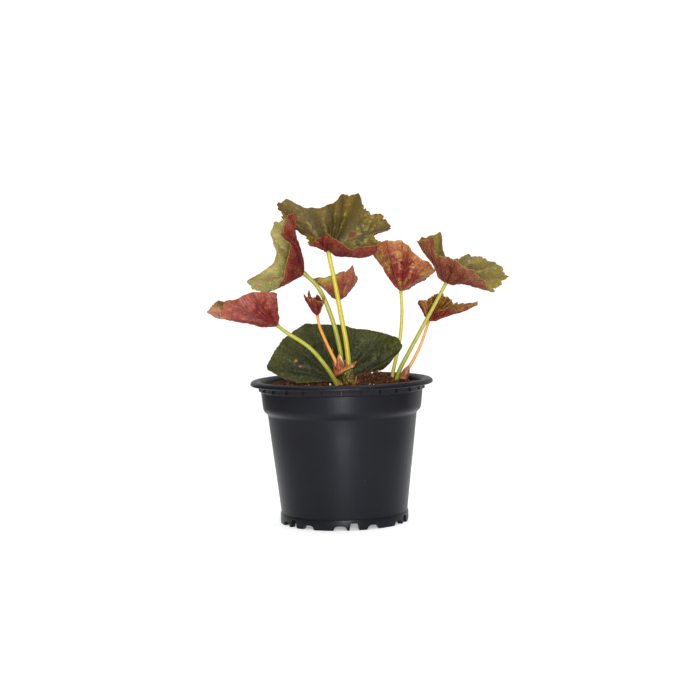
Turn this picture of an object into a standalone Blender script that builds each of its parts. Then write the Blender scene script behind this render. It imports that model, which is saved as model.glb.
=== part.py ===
# A young begonia in a round black nursery pot.
# The origin is the middle of the pot's underside, +Z is up, and the viewer of the plant stands at -Y.
# Sizes below are millimetres times mm, so every length handed to Blender is in metres.

import math

import bmesh
import bpy
from mathutils import Vector
from mathutils.bvhtree import BVHTree

mm = 0.001

# Driving dimensions of the pot
POT_HEIGHT = 94 * mm
RIM_RADIUS = 60 * mm
BASE_RADIUS = 42.2 * mm
WALL = 1.2 * mm
FLOOR_LIFT = 3.5 * mm
FLOOR_THICKNESS = 1.4 * mm
PAD_RADIUS = 12 * mm
FOOT_WIDTH = 3.4 * mm
FOOT_HEIGHT = 7 * mm
COLLAR_Z = 73 * mm
RING_Z = 87 * mm
LIP_THICKNESS = 3.4 * mm
POT_SEGMENTS = 48

# Drainage: gaps between the feet, and arched holes through the foot of the wall
GAP_COUNT = 12
GAP_WIDTH = 8 * mm
GAP_HEIGHT = 2.9 * mm
GAP_TURN = math.radians(-3.75)
HOLE_COUNT = 6
HOLE_WIDTH = 5.6 * mm
HOLE_HEIGHT = 5.4 * mm
HOLE_TURN = math.radians(8.6)

# Soil, filled nearly to the rim and heaped beside the stem
SOIL_LEVEL = 89.6 * mm
SOIL_SEGMENTS = 48
SOIL_RINGS = 8
MOUND = {"x": 25 * mm, "y": 7 * mm, "height": 6.8 * mm, "wide": 12 * mm, "deep": 11 * mm}
CRUMB_HEIGHT = 0.8 * mm

# Fit and thickness
CLEARANCE = 0.3 * mm
BLADE_THICKNESS = 0.8 * mm
SHEATH_WALL = 0.9 * mm
STALK_SIDES = 8


# Where the viewer's eye is, for places read off the view of the plant
EYE = {"x": 6, "z": 183, "away": 1100}


def at(x, y, z):
    """A place given in millimetres."""
    return Vector((x, y, z)) * mm


def seen(x, y, z):
    """A place that the viewer sees at x and z on the upright plane through the axis, but that is y behind it."""
    spread = 1 + y / EYE["away"]
    return at(EYE["x"] + (x - EYE["x"]) * spread, y, EYE["z"] + (z - EYE["z"]) * spread)


def rib(middle, tip):
    """A spoke of a blade that is one of its main veins."""
    return {"middle": seen(*middle), "tip": seen(*tip), "rib": True}


def web(middle, tip):
    """A spoke that only shapes the blade between two veins."""
    return {"middle": seen(*middle), "tip": seen(*tip), "rib": False}


# Each leaf grows from the top of its stalk. Its spokes are listed anticlockwise as seen from above
# the blade, from one side of the heart-shaped notch round to the other.
LEAVES = {
    "leaf_top": {
        "base": seen(-7, -15, 178.8),
        "spokes": [
            rib((-5.5, -22, 181), (-5.2, -27, 188.4)),
            web((-2, -23.5, 177.8), (0, -30, 184.4)),
            rib((3.5, -24, 175.4), (8.5, -32, 179.6)),
            web((8, -22, 173.8), (13, -30, 181.0)),
            rib((13.5, -18, 174.6), (26, -23, 180.6)),
            web((14, -12, 179), (25, -13, 187)),
            web((15.5, -9, 181.5), (27.5, -10, 191)),
            rib((17, -6, 183), (34.5, -5, 191.5)),
            web((14, -2, 187), (29.8, 5, 200.8)),
            web((10, 1, 189.5), (21.6, 11, 204.6)),
            rib((4.5, 2, 192), (13.8, 17, 214.4)),
            web((-0.5, 3, 192.5), (3.6, 19, 214.2)),
            web((-5, 2, 191), (-5.5, 19, 208.6)),
            rib((-11, 0, 190.5), (-17.5, 18, 206.8)),
            web((-16, -1, 191.5), (-26, 17, 209.4)),
            rib((-19, -3, 192), (-33.4, 14, 213.6)),
            web((-20.5, -5.5, 190.5), (-40.8, 11, 208.6)),
            web((-19, -9, 188), (-37, 4, 200)),
            rib((-16.5, -12, 185), (-28, -3, 192.4)),
            web((-15, -13.5, 184), (-22.4, -9, 190.4)),
            web((-13, -15, 181.3), (-20.2, -14, 182.2)),
            web((-11, -18, 181), (-16, -20, 184.2)),
            rib((-8, -21, 181), (-8.6, -26, 189.2)),
        ],
        "quilt": 1.0 * mm,
    },
    "leaf_upper_left": {
        "base": seen(-23.2, -2, 163.9),
        "spokes": [
            web((-33, -9, 157.4), (-42.5, -13, 153.2)),
            rib((-30.5, -11, 160.8), (-38.4, -16, 158.8)),
            web((-29.4, -12.5, 165.6), (-35.8, -18, 166.6)),
            rib((-28.6, -12.5, 170.0), (-34.3, -18.5, 173)),
            web((-27.4, -12, 173.5), (-31.8, -18.5, 180.4)),
            web((-27.3, -11, 176.5), (-33.0, -17.5, 185)),
            rib((-27.9, -10, 180), (-37.6, -16, 189.4)),
            web((-27.6, -8, 182.6), (-34.8, -13, 197)),
            rib((-27.8, -5, 183), (-29.4, -9, 202.6)),
            web((-29.5, 1, 182.5), (-35, -4, 199.8)),
            rib((-32, 5, 182), (-41.7, 1, 197.5)),
            web((-33.5, 8, 178.5), (-44.8, 6, 191)),
            web((-33.5, 10.5, 174), (-43.2, 10, 184.5)),
            rib((-33.5, 12, 169.5), (-41.2, 12, 175)),
            web((-37, 11.5, 165.8), (-49, 11, 167.2)),
            rib((-42, 9, 162), (-60.4, 7, 159.6)),
            web((-40, 5, 159.5), (-57.8, 3, 153.2)),
            rib((-37, 0, 158.2), (-50, -3, 151.9)),
            web((-33.5, -4, 157.6), (-43.5, -8, 152)),
        ],
        "quilt": 0.9 * mm,
    },
    "leaf_lower_left": {
        "base": seen(-41.3, -17, 129.8),
        "spokes": [
            rib((-41.8, -10, 139.5), (-42, -11, 149.6)),
            web((-46, -7, 139.5), (-50, -4, 148.6)),
            rib((-53, -6, 138), (-60, -1, 146.6)),
            web((-58, -8, 136), (-70, -2, 144.6)),
            rib((-62, -11, 134.5), (-79.4, -5, 147.6)),
            web((-63, -13, 134), (-83.4, -9, 145)),
            rib((-63.5, -16, 134), (-87.3, -13, 139.4)),
            web((-62, -18, 133.8), (-80, -18, 139)),
            web((-61, -20, 133.4), (-79, -22, 135.4)),
            web((-60, -23, 136.4), (-76, -26, 146.0)),
            rib((-56.5, -26, 138.4), (-68.5, -29, 147.6)),
            web((-53.5, -27.5, 139.6), (-63.5, -31, 150.2)),
            rib((-50, -28, 140.6), (-57, -32, 152.2)),
            web((-46, -27, 141), (-50, -31, 152.2)),
            rib((-42.6, -24, 141), (-43, -28, 151.8)),
            web((-41.3, -19.5, 140.6), (-40.9, -21, 151.2)),
        ],
        "quilt": 1.1 * mm,
    },
    "leaf_bud_left": {
        "base": seen(-15, -14, 136),
        "spokes": [
            rib((-12.8, -14.6, 141.5), (-9.5, -16, 148.2)),
            web((-13.4, -12.4, 142), (-12.2, -11.5, 147)),
            rib((-14.6, -11.2, 143), (-14.2, -8.8, 152)),
            web((-16, -10.8, 142.5), (-17.6, -9.2, 147.6)),
            rib((-17.4, -11.6, 143), (-21.4, -9.8, 153.8)),
            web((-18, -13.4, 142), (-21, -13, 148.4)),
            rib((-18.4, -14.8, 142.4), (-24.2, -15.6, 150.4)),
            web((-17.2, -16.4, 141.8), (-18.4, -18.4, 147.6)),
            rib((-15.6, -17.4, 141.5), (-16.6, -20.4, 149.4)),
            web((-14.2, -17.2, 141.4), (-13.8, -19.6, 145.6)),
            rib((-13, -16.4, 141.4), (-11, -18.8, 147.6)),
        ],
        "quilt": -0.5 * mm,
    },
    "leaf_back": {
        "base": seen(-0.6, 9, 145.8),
        "spokes": [
            rib((6.2, 6, 154.4), (9.6, 4, 168.2)),
            web((7.4, 8.5, 154), (11.6, 8.5, 162)),
            rib((7, 11.5, 154), (11.4, 14, 161.4)),
            web((5, 14, 154.5), (9, 20, 163)),
            rib((1, 16, 154.5), (2, 25, 164)),
            web((-4, 15.5, 153.6), (-6, 23, 162)),
            rib((-7.6, 13, 152.4), (-13.4, 17, 161)),
            web((-8.4, 9.5, 151.6), (-17.6, 10, 160.6)),
            web((-7.4, 6, 151), (-13, 4.4, 157)),
            rib((-4.4, 4, 151.2), (-7, 0.6, 156.6)),
            web((-1.4, 3, 152.6), (-2.4, -0.4, 160.6)),
            rib((1.4, 3, 154), (2.2, -0.6, 164.6)),
            web((4, 3.6, 154.6), (6, 0.4, 166.2)),
        ],
        "quilt": 0.7 * mm,
    },
    "leaf_low": {
        "base": seen(-1.5, 6, 91.5),
        "spokes": [
            web((12, 11, 94.8), (28.4, 17, 99.4)),
            rib((18, 12, 99), (37.6, 12, 109.4)),
            web((19, 12.5, 103), (40.8, 10, 114.6)),
            web((18, 14, 106.5), (37.9, 15, 120)),
            rib((15, 16, 109), (29.7, 20, 123)),
            web((11, 16, 110.5), (19, 22, 126)),
            rib((5, 15.5, 111), (9, 24, 127)),
            web((0, 16.5, 111.5), (2, 25.5, 129.6)),
            rib((-5, 17.5, 111.5), (-9, 26, 129.8)),
            web((-8.5, 17, 111.5), (-16, 26, 130.6)),
            rib((-12, 16, 111), (-23, 25, 130.6)),
            web((-15.5, 15.5, 109), (-31, 23, 126.2)),
            rib((-18.5, 14.5, 106), (-38, 20, 121)),
            web((-21.5, 13, 102.5), (-44, 16, 113.4)),
            rib((-24, 11, 98.4), (-49, 10, 102.2)),
            web((-19.5, 8, 94.8), (-40, 5.5, 95.8)),
            web((-15, 5.5, 92.2), (-29.7, 2.5, 91)),
        ],
        "quilt": 1.3 * mm,
    },
    "leaf_mid_right": {
        "base": seen(40.2, 17, 150.8),
        "spokes": [
            web((39, 26, 157.6), (38, 34, 164)),
            rib((34, 26, 160.6), (29.5, 32, 170)),
            web((31.5, 21, 163), (21, 26, 175.5)),
            rib((31.4, 16, 165), (22, 17, 180)),
            web((32.2, 11.5, 167.6), (25.2, 10.5, 184.4)),
            rib((35.6, 9, 168.4), (31.6, 7.5, 184.2)),
            web((40.3, 8, 168.5), (40.8, 5.5, 184.8)),
            rib((43.4, 8.5, 167), (46, 5.5, 180.4)),
            web((46.6, 9.5, 164), (51, 6.5, 174.6)),
            rib((50, 11, 160.6), (59.5, 9, 169)),
            web((52, 14, 156.8), (64, 13, 163.4)),
            rib((49.5, 21, 155.8), (58, 23, 161)),
            web((44, 26, 157), (47, 32, 162)),
        ],
        "quilt": 1.0 * mm,
    },
    "leaf_upper_right": {
        "base": seen(70.2, -5, 155.6),
        "spokes": [
            web((65.8, -9.5, 163), (62.6, -11.5, 172.4)),
            rib((68, -11, 162.6), (66.6, -15, 170.6)),
            web((71.2, -13, 162.6), (72, -17.5, 171.8)),
            rib((74.5, -14, 160.8), (77.5, -19.5, 169.6)),
            web((77.5, -14, 158.8), (83, -19.5, 165)),
            rib((79.6, -13, 156.8), (88.3, -18.5, 163.6)),
            web((81.6, -11, 155.8), (92.6, -15.5, 158.8)),
            web((83.4, -8.5, 155.2), (96.6, -11.5, 155.8)),
            rib((84.4, -6, 155), (98.8, -7, 149.4)),
            web((86, -3, 155.6), (101.8, -3, 147.8)),
            web((88, 0, 156.4), (107, 1, 152.8)),
            rib((90, 2, 158.4), (110.5, 4, 158.2)),
            web((88.5, 5, 161), (107.8, 9, 165.2)),
            rib((86, 7.5, 163), (102.2, 13, 168.3)),
            web((82.5, 9, 164.4), (94.8, 17, 171.8)),
            rib((77.5, 9, 165), (84.5, 19, 174)),
            web((73, 6, 164.2), (75, 14, 171)),
            web((69.8, 3, 165), (68.8, 9, 175)),
            rib((67.6, 0.5, 170), (67, 5.5, 188.4)),
            web((64.6, -1, 170), (59.6, 2.5, 187.3)),
            rib((62.2, -2.5, 169.2), (54.7, -1, 185.8)),
            web((61, -4.5, 168), (50.4, -3.5, 183.8)),
            web((62, -7, 166.6), (54.8, -8.5, 184.2)),
            rib((63.8, -9, 166.2), (61.4, -11.5, 184.6)),
        ],
        "quilt": 0.9 * mm,
    },
    "leaf_young_right": {
        "base": seen(58.4, 8, 130.9),
        "spokes": [
            web((58.2, 4.5, 136.6), (57.5, 2.4, 143.8)),
            rib((60.5, 4.2, 134.8), (62, 1.6, 141.6)),
            web((63, 4.4, 134), (67, 2.2, 139)),
            rib((66, 5, 134.2), (73, 3, 139.8)),
            web((69, 6.5, 134.6), (79.8, 5, 138)),
            rib((72, 8, 136), (87, 8, 140)),
            web((73.6, 9.4, 137), (91.8, 10, 142.3)),
            rib((71, 11, 137.6), (84, 13, 141.2)),
            web((68.5, 12.5, 138), (77.4, 16, 142)),
            rib((66, 14, 138.6), (72.2, 18, 145.4)),
            web((63.8, 14.5, 139.4), (68.3, 19.4, 148.8)),
            rib((61, 14, 139.6), (62.4, 18, 148.4)),
            web((57.8, 12, 138.4), (56, 14, 145)),
            rib((55.8, 9, 138), (52.4, 9, 144.6)),
            web((56.6, 7, 137.4), (53.6, 5, 143.8)),
        ],
        "quilt": -0.5 * mm,
    },
}
TOOTH = 0.03
LOBE = 0.03

# Each stalk runs from its foot, in the sheath or in the soil, up to its leaf's base
STALKS = {
    "stalk_top": {
        "leaf": "leaf_top",
        "route": [
            seen(4.4, -5.4, 100.4),
            seen(4.7, -5.9, 106),
            seen(3.5, -6.6, 118.4),
            seen(1.4, -7.6, 131),
            seen(-2.1, -9.8, 152.3),
            seen(-5, -12.6, 168),
        ],
        "radii": (1.8 * mm, 1.35 * mm),
    },
    "stalk_upper_left": {
        "leaf": "leaf_upper_left",
        "route": [
            seen(0.2, -2.3, 100.2),
            seen(-0.2, -2.5, 110),
            seen(-1.9, -2.7, 120),
            seen(-4.3, -3, 130),
            seen(-9.4, -3.4, 145),
            seen(-14.9, -3.4, 155.4),
        ],
        "radii": (1.6 * mm, 1.35 * mm),
    },
    "stalk_bud_left": {
        "leaf": "leaf_bud_left",
        "route": [
            seen(-2.2, -6.6, 100.2),
            seen(-3.6, -7.2, 105),
            seen(-7.3, -8.8, 113),
            seen(-10.5, -10.6, 120.3),
            seen(-13.6, -12.8, 128.5),
        ],
        "radii": (1.25 * mm, 0.9 * mm),
    },
    "stalk_back": {
        "leaf": "leaf_back",
        "route": [
            seen(3.6, -1.3, 100.4),
            seen(4.2, -0.8, 108),
            seen(3.0, 4, 122),
            seen(0.8, 7.2, 136),
        ],
        "radii": (1.15 * mm, 0.85 * mm),
    },
    "stalk_lower_left": {
        "leaf": "leaf_lower_left",
        "route": [
            seen(-0.6, -12, 80),
            seen(-3.5, -13, 90.6),
            seen(-10.7, -15, 103),
            seen(-21.1, -16.4, 115.2),
            seen(-35.7, -17, 125.3),
        ],
        "radii": (1.7 * mm, 1.1 * mm),
    },
    "stalk_low": {
        "leaf": "leaf_low",
        "route": [seen(-1, 2.5, 78), seen(-1.2, 3.6, 85)],
        "radii": (1.7 * mm, 1.5 * mm),
    },
    "stalk_mid_right": {
        "leaf": "leaf_mid_right",
        "route": [
            seen(31.6, 12, 80),
            seen(33.9, 14.5, 97),
            seen(37.5, 16.5, 112),
            seen(39.8, 17.5, 125),
            seen(40.7, 17.5, 139),
        ],
        "radii": (1.35 * mm, 0.95 * mm),
    },
    "stalk_upper_right": {
        "leaf": "leaf_upper_right",
        "route": [
            seen(32.8, 2.5, 80),
            seen(37.6, 2, 96.9),
            seen(44.5, 1, 110),
            seen(54.8, -1, 128.1),
            seen(65, -3.6, 146.2),
        ],
        "radii": (1.5 * mm, 1.1 * mm),
    },
    "stalk_young_right": {
        "leaf": "leaf_young_right",
        "route": [
            seen(37, 5.6, 80),
            seen(41.6, 6, 95.1),
            seen(47.4, 6.4, 105),
            seen(52.6, 7, 115.2),
        ],
        "radii": (1.2 * mm, 0.85 * mm),
    },
}

# The thick green stem stands in the soil, and the brown sheath on it holds the feet of four stalks
STEM = {
    "route": [at(5, -5, 70), at(5, -5, 82), at(4.6, -5, 90), at(3.4, -4.7, 96)],
    "radius": 3.8 * mm,
    "knob": 0.45 * mm,
}
SHEATH = {
    "middle": at(1.3, -4.4, 97.3),
    "floor": 2.0 * mm,
    "foot_radius": 4.8 * mm,
    "radius": 7.1 * mm,
    "low": 3.0 * mm,
    "lean": -0.05,
}
# Pointed scales of the sheath: the way each faces in degrees, its half width, height and outward flare
SHEATH_SCALES = [
    {"faces": 268, "half_width": 38, "height": 12.6 * mm, "flare": -0.4 * mm},
    {"faces": 163, "half_width": 26, "height": 18 * mm, "flare": 0.2 * mm},
    {"faces": 330, "half_width": 34, "height": 8.2 * mm, "flare": 3.0 * mm},
    {"faces": 112, "half_width": 34, "height": 7.5 * mm, "flare": 0.6 * mm},
]
# The loose scale is a pointed trough that clasps the foot of a stalk
SCALES = {
    "scale_right": {
        "stalk": "stalk_young_right",
        "faces": 235,
        "half_width": 95,
        "start": 0.205,
        "length": 0.2,
        "gap": 0.5 * mm,
    },
}

COLOURS = {
    "pot": ((0.018, 0.018, 0.021), 0.45),
    "soil": ((0.075, 0.032, 0.017), 0.95),
    "stem": ((0.24, 0.25, 0.04), 0.6),
    "sheath": ((0.36, 0.12, 0.05), 0.6),
    "stalk_green": ((0.52, 0.50, 0.06), 0.45),
    "stalk_orange": ((0.62, 0.28, 0.06), 0.45),
    "blade_olive": ((0.17, 0.15, 0.03), 0.55),
    "blade_maroon": ((0.16, 0.03, 0.03), 0.55),
    "blade_dark_green": ((0.022, 0.032, 0.014), 0.5),
}
ORANGE_STALKS = ("stalk_bud_left", "stalk_young_right")
MAROON_LEAVES = ("leaf_lower_left", "leaf_bud_left", "leaf_young_right", "leaf_mid_right")


def clear_scene():
    for obj in list(bpy.data.objects):
        bpy.data.objects.remove(obj)


def material(name):
    found = bpy.data.materials.get(name)
    if found:
        return found
    colour, roughness = COLOURS[name]
    made = bpy.data.materials.new(name)
    made.use_nodes = True
    shader = made.node_tree.nodes["Principled BSDF"]
    shader.inputs["Base Color"].default_value = (*colour, 1.0)
    shader.inputs["Roughness"].default_value = roughness
    shader.inputs["Metallic"].default_value = 0.0
    return made


def add_object(name, points, faces, material_name):
    mesh = bpy.data.meshes.new(name)
    mesh.from_pydata([tuple(p) for p in points], [], faces)
    shell = bmesh.new()
    shell.from_mesh(mesh)
    bmesh.ops.recalc_face_normals(shell, faces=shell.faces)
    if shell.calc_volume(signed=True) < 0:
        bmesh.ops.reverse_faces(shell, faces=shell.faces)
    shell.to_mesh(mesh)
    shell.free()
    mesh.shade_smooth()
    mesh.set_sharp_from_angle(angle=math.radians(40))
    obj = bpy.data.objects.new(name, mesh)
    bpy.context.collection.objects.link(obj)
    if material_name:
        mesh.materials.append(material(material_name))
    return obj


def cut(obj, cutters):
    """Takes each cutter out of obj with a Boolean, and hides the cutters."""
    for cutter in cutters:
        cutter.hide_render = True
        cutter.display_type = "WIRE"
        difference = obj.modifiers.new(cutter.name, "BOOLEAN")
        difference.operation = "DIFFERENCE"
        difference.object = cutter


def turned(name, profile, segments, material_name):
    """A solid of revolution about Z. The profile is (radius, height) from one place on the axis to another."""
    points = [Vector((0, 0, profile[0][1]))]
    rings = []
    for radius, height in profile[1:-1]:
        rings.append(range(len(points), len(points) + segments))
        for k in range(segments):
            turn = 2 * math.pi * k / segments
            points.append(Vector((radius * math.cos(turn), radius * math.sin(turn), height)))
    points.append(Vector((0, 0, profile[-1][1])))
    faces = []
    for k in range(segments):
        after = (k + 1) % segments
        faces.append((0, rings[0][after], rings[0][k]))
        faces.append((len(points) - 1, rings[-1][k], rings[-1][after]))
        for low, high in zip(rings, rings[1:]):
            faces.append((low[k], low[after], high[after], high[k]))
    return add_object(name, points, faces, material_name)


def spline(places, s):
    """The place at s, from 0 to the last index, on a smooth curve through the places."""
    k = min(int(s), len(places) - 2)
    t = s - k
    a, b = places[k], places[k + 1]
    before = places[k - 1] if k > 0 else a * 2 - b
    after = places[k + 2] if k + 2 < len(places) else b * 2 - a
    return (
        b * (3 * t * t - 2 * t**3)
        + a * (1 - 3 * t * t + 2 * t**3)
        + (b - before) * ((t**3 - 2 * t * t + t) / 2)
        + (after - a) * ((t**3 - t * t) / 2)
    )


def tube(name, path, radii, sides, material_name):
    """A closed tube round the path, which is a list of places, with a radius at each."""
    across = (path[1] - path[0]).orthogonal().normalized()
    points = []
    for k, centre in enumerate(path):
        along = (path[min(k + 1, len(path) - 1)] - path[max(k - 1, 0)]).normalized()
        across = (across - along * across.dot(along)).normalized()
        sideways = along.cross(across)
        for j in range(sides):
            turn = 2 * math.pi * j / sides
            points.append(centre + (across * math.cos(turn) + sideways * math.sin(turn)) * radii[k])
    faces = []
    for k in range(len(path) - 1):
        for j in range(sides):
            after = (j + 1) % sides
            faces.append((k * sides + j, k * sides + after, (k + 1) * sides + after, (k + 1) * sides + j))
    faces.append(tuple(reversed(range(sides))))
    faces.append(tuple(range((len(path) - 1) * sides, len(path) * sides)))
    return add_object(name, points, faces, material_name)


# The pot


def wall_radius(z):
    """Outer radius of the tapered wall between the feet and the collar."""
    share = (z - FOOT_HEIGHT) / (COLLAR_Z - FOOT_HEIGHT)
    return 41.6 * mm + share * 7.6 * mm


def pot_outside():
    lip_foot = POT_HEIGHT - LIP_THICKNESS
    return [
        (0, 0),
        (PAD_RADIUS, 0),
        (PAD_RADIUS + 2.5 * mm, FLOOR_LIFT),
        (BASE_RADIUS - FOOT_WIDTH - 0.7 * mm, FLOOR_LIFT),
        (BASE_RADIUS - FOOT_WIDTH, 0),
        (BASE_RADIUS - 0.5 * mm, 0),
        (BASE_RADIUS, 0.6 * mm),
        (BASE_RADIUS, FOOT_HEIGHT - 0.7 * mm),
        (wall_radius(FOOT_HEIGHT), FOOT_HEIGHT),
        (wall_radius(COLLAR_Z - 1.4 * mm), COLLAR_Z - 1.4 * mm),
        (50.5 * mm, COLLAR_Z + 0.2 * mm),
        (51.7 * mm, COLLAR_Z + 1.6 * mm),
        (52.1 * mm, COLLAR_Z + 3.6 * mm),
        (53.2 * mm, RING_Z - 0.4 * mm),
        (54.2 * mm, RING_Z + 0.2 * mm),
        (54.4 * mm, lip_foot + 0.8 * mm),
        (57.4 * mm, lip_foot + 0.7 * mm),
        (58.4 * mm, lip_foot),
        (RIM_RADIUS - 0.4 * mm, lip_foot + 0.2 * mm),
        (RIM_RADIUS, lip_foot + 1 * mm),
        (RIM_RADIUS - 0.2 * mm, POT_HEIGHT - 1.3 * mm),
        (RIM_RADIUS - 1.2 * mm, POT_HEIGHT - 0.3 * mm),
        (56.5 * mm, POT_HEIGHT),
        (54.2 * mm, POT_HEIGHT - 0.3 * mm),
    ]


def pot_inside():
    """The inner wall from the lip down to the floor, and in to the axis."""
    floor = FLOOR_LIFT + FLOOR_THICKNESS
    return [
        (53.1 * mm, POT_HEIGHT - 1.6 * mm),
        (52.9 * mm, RING_Z + 1.4 * mm),
        (52.0 * mm, RING_Z + 0.6 * mm),
        (50.9 * mm, COLLAR_Z + 3.8 * mm),
        (50.4 * mm, COLLAR_Z + 2.2 * mm),
        (49.0 * mm, COLLAR_Z + 0.6 * mm),
        (wall_radius(COLLAR_Z - 1 * mm) - WALL, COLLAR_Z - 1 * mm),
        (wall_radius(FOOT_HEIGHT) - WALL, FOOT_HEIGHT + 1 * mm),
        (wall_radius(FOOT_HEIGHT) - WALL - 1.0 * mm, floor),
        (PAD_RADIUS + 1.2 * mm, floor),
        (PAD_RADIUS - 1.3 * mm, FLOOR_THICKNESS),
        (0, FLOOR_THICKNESS),
    ]


def round_the_foot(count, turn):
    return [turn + 2 * math.pi * k / count - math.pi / 2 for k in range(count)]


def block(name, middle, size, turn):
    """A cutter: a box that points outwards from the axis."""
    outwards = Vector((math.cos(turn), math.sin(turn), 0))
    sideways = Vector((-math.sin(turn), math.cos(turn), 0))
    corners = []
    for a in (-0.5, 0.5):
        for b in (-0.5, 0.5):
            for c in (-0.5, 0.5):
                narrowing = 0.72 if c > 0 else 1.0
                corners.append(
                    middle
                    + outwards * (a * size[0])
                    + sideways * (b * size[1] * narrowing)
                    + Vector((0, 0, c * size[2]))
                )
    faces = [(0, 1, 3, 2), (4, 6, 7, 5), (0, 4, 5, 1), (2, 3, 7, 6), (0, 2, 6, 4), (1, 5, 7, 3)]
    return add_object(name, corners, faces, None)


def make_pot():
    pot = turned("pot", pot_outside() + pot_inside(), POT_SEGMENTS, "pot")
    foot_middle = BASE_RADIUS - FOOT_WIDTH / 2
    below = 1 * mm
    cutters = []
    for k, turn in enumerate(round_the_foot(GAP_COUNT, GAP_TURN)):
        height = GAP_HEIGHT + below
        middle = Vector((foot_middle * math.cos(turn), foot_middle * math.sin(turn), GAP_HEIGHT - height / 2))
        cutters.append(block(f"gap_{k}", middle, (FOOT_WIDTH + 4 * mm, GAP_WIDTH, height), turn))
    for k, turn in enumerate(round_the_foot(HOLE_COUNT, HOLE_TURN)):
        height = HOLE_HEIGHT + below
        middle = Vector((foot_middle * math.cos(turn), foot_middle * math.sin(turn), HOLE_HEIGHT - height / 2))
        cutters.append(block(f"hole_{k}", middle, (FOOT_WIDTH + 6 * mm, HOLE_WIDTH, height), turn))
    cut(pot, cutters)
    return pot


# The soil


def soil_top(x, y):
    """Height of the soil: level near the wall, heaped beside the stem, with crumbs all over."""
    r = math.hypot(x, y)
    mound = MOUND["height"] * math.exp(
        -(((x - MOUND["x"]) / MOUND["wide"]) ** 2) - ((y - MOUND["y"]) / MOUND["deep"]) ** 2
    )
    behind = 2.0 * mm * math.exp(-(((x + 30 * mm) / (22 * mm)) ** 2) - ((y - 34 * mm) / (14 * mm)) ** 2)
    crumbs = CRUMB_HEIGHT * (
        math.sin(x / mm * 0.71 + 1.3) * math.cos(y / mm * 0.83)
        + 0.6 * math.sin(x / mm * 1.37 - y / mm * 1.19)
    )
    edge = min(1.0, (52 * mm - r) / (8 * mm))
    return SOIL_LEVEL + mound + behind + crumbs * max(0.0, edge)


def make_soil(standing):
    """The soil fills the pot, and each piece that stands in it has a plain hole."""
    inner = [(max(r - CLEARANCE, 0), z + CLEARANCE) for r, z in reversed(pot_inside())]
    below_top = [place for place in inner if place[1] < SOIL_LEVEL - 1 * mm]
    edge_radius = 52.2 * mm
    profile = below_top + [(edge_radius, SOIL_LEVEL)]
    for k in range(1, SOIL_RINGS):
        profile.append((edge_radius * (1 - k / SOIL_RINGS), SOIL_LEVEL))
    profile.append((0, SOIL_LEVEL))
    soil = turned("soil", profile, SOIL_SEGMENTS, "soil")
    for vertex in soil.data.vertices:
        if vertex.co.z > SOIL_LEVEL - 0.1 * mm:
            vertex.co.z = soil_top(vertex.co.x, vertex.co.y)
    cut(soil, standing)
    return soil


# Leaves


def blade_point(leaf, s, t):
    """A place on the smooth middle sheet: s runs from spoke to spoke, t from the base to the edge."""
    middle = spline([spoke["middle"] for spoke in leaf["spokes"]], s)
    tip = spline([spoke["tip"] for spoke in leaf["spokes"]], s)
    base = leaf["base"]
    bend = middle * 2 - (base + tip) / 2
    return base * (1 - t) ** 2 + bend * (2 * t * (1 - t)) + tip * t * t


def blade_normal(leaf, s, t):
    """The way the upper face looks at a place."""
    last = len(leaf["spokes"]) - 1
    step = 0.05
    t = max(t, 0.12)
    along = blade_point(leaf, s, t + step) - blade_point(leaf, s, t - step)
    across = blade_point(leaf, min(s + step, last), t) - blade_point(leaf, max(s - step, 0), t)
    return along.cross(across).normalized()


def between_ribs(leaf, s):
    """0 on a main vein and 1 halfway to the next."""
    spokes = leaf["spokes"]
    ribs = [k for k, spoke in enumerate(spokes) if spoke["rib"]]
    below = max([k for k in ribs if k <= s], default=-1)
    above = min([k for k in ribs if k > s], default=len(spokes))
    return math.sin(math.pi * (s - below) / (above - below)) ** 2


def edge_reach(leaf, s):
    """How far the edge reaches at s: full at each main vein, less between them, with a notch in every gap."""
    notch = math.sin(math.pi * s) ** 2
    return 1 - LOBE * between_ribs(leaf, s) - TOOTH * notch


def blade_rings(leaf):
    """The rings of places on the upper face, from the base outwards, as (s values, t)."""
    gaps = len(leaf["spokes"]) - 1
    rings = []
    for t, per_gap in ((0.3, 1), (0.6, 1), (0.85, 2), (1.0, 2)):
        rings.append(([k / per_gap for k in range(gaps * per_gap + 1)], t))
    return rings


def zip_rows(low, low_s, high, high_s):
    """Triangles between two rows of places, taking whichever row is behind."""
    faces = []
    i = j = 0
    while i < len(low) - 1 or j < len(high) - 1:
        low_next = low_s[i + 1] if i < len(low) - 1 else math.inf
        high_next = high_s[j + 1] if j < len(high) - 1 else math.inf
        if high_next <= low_next:
            faces.append((low[i], high[j], high[j + 1]))
            j += 1
        else:
            faces.append((low[i], high[j], low[i + 1]))
            i += 1
    return faces


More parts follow.
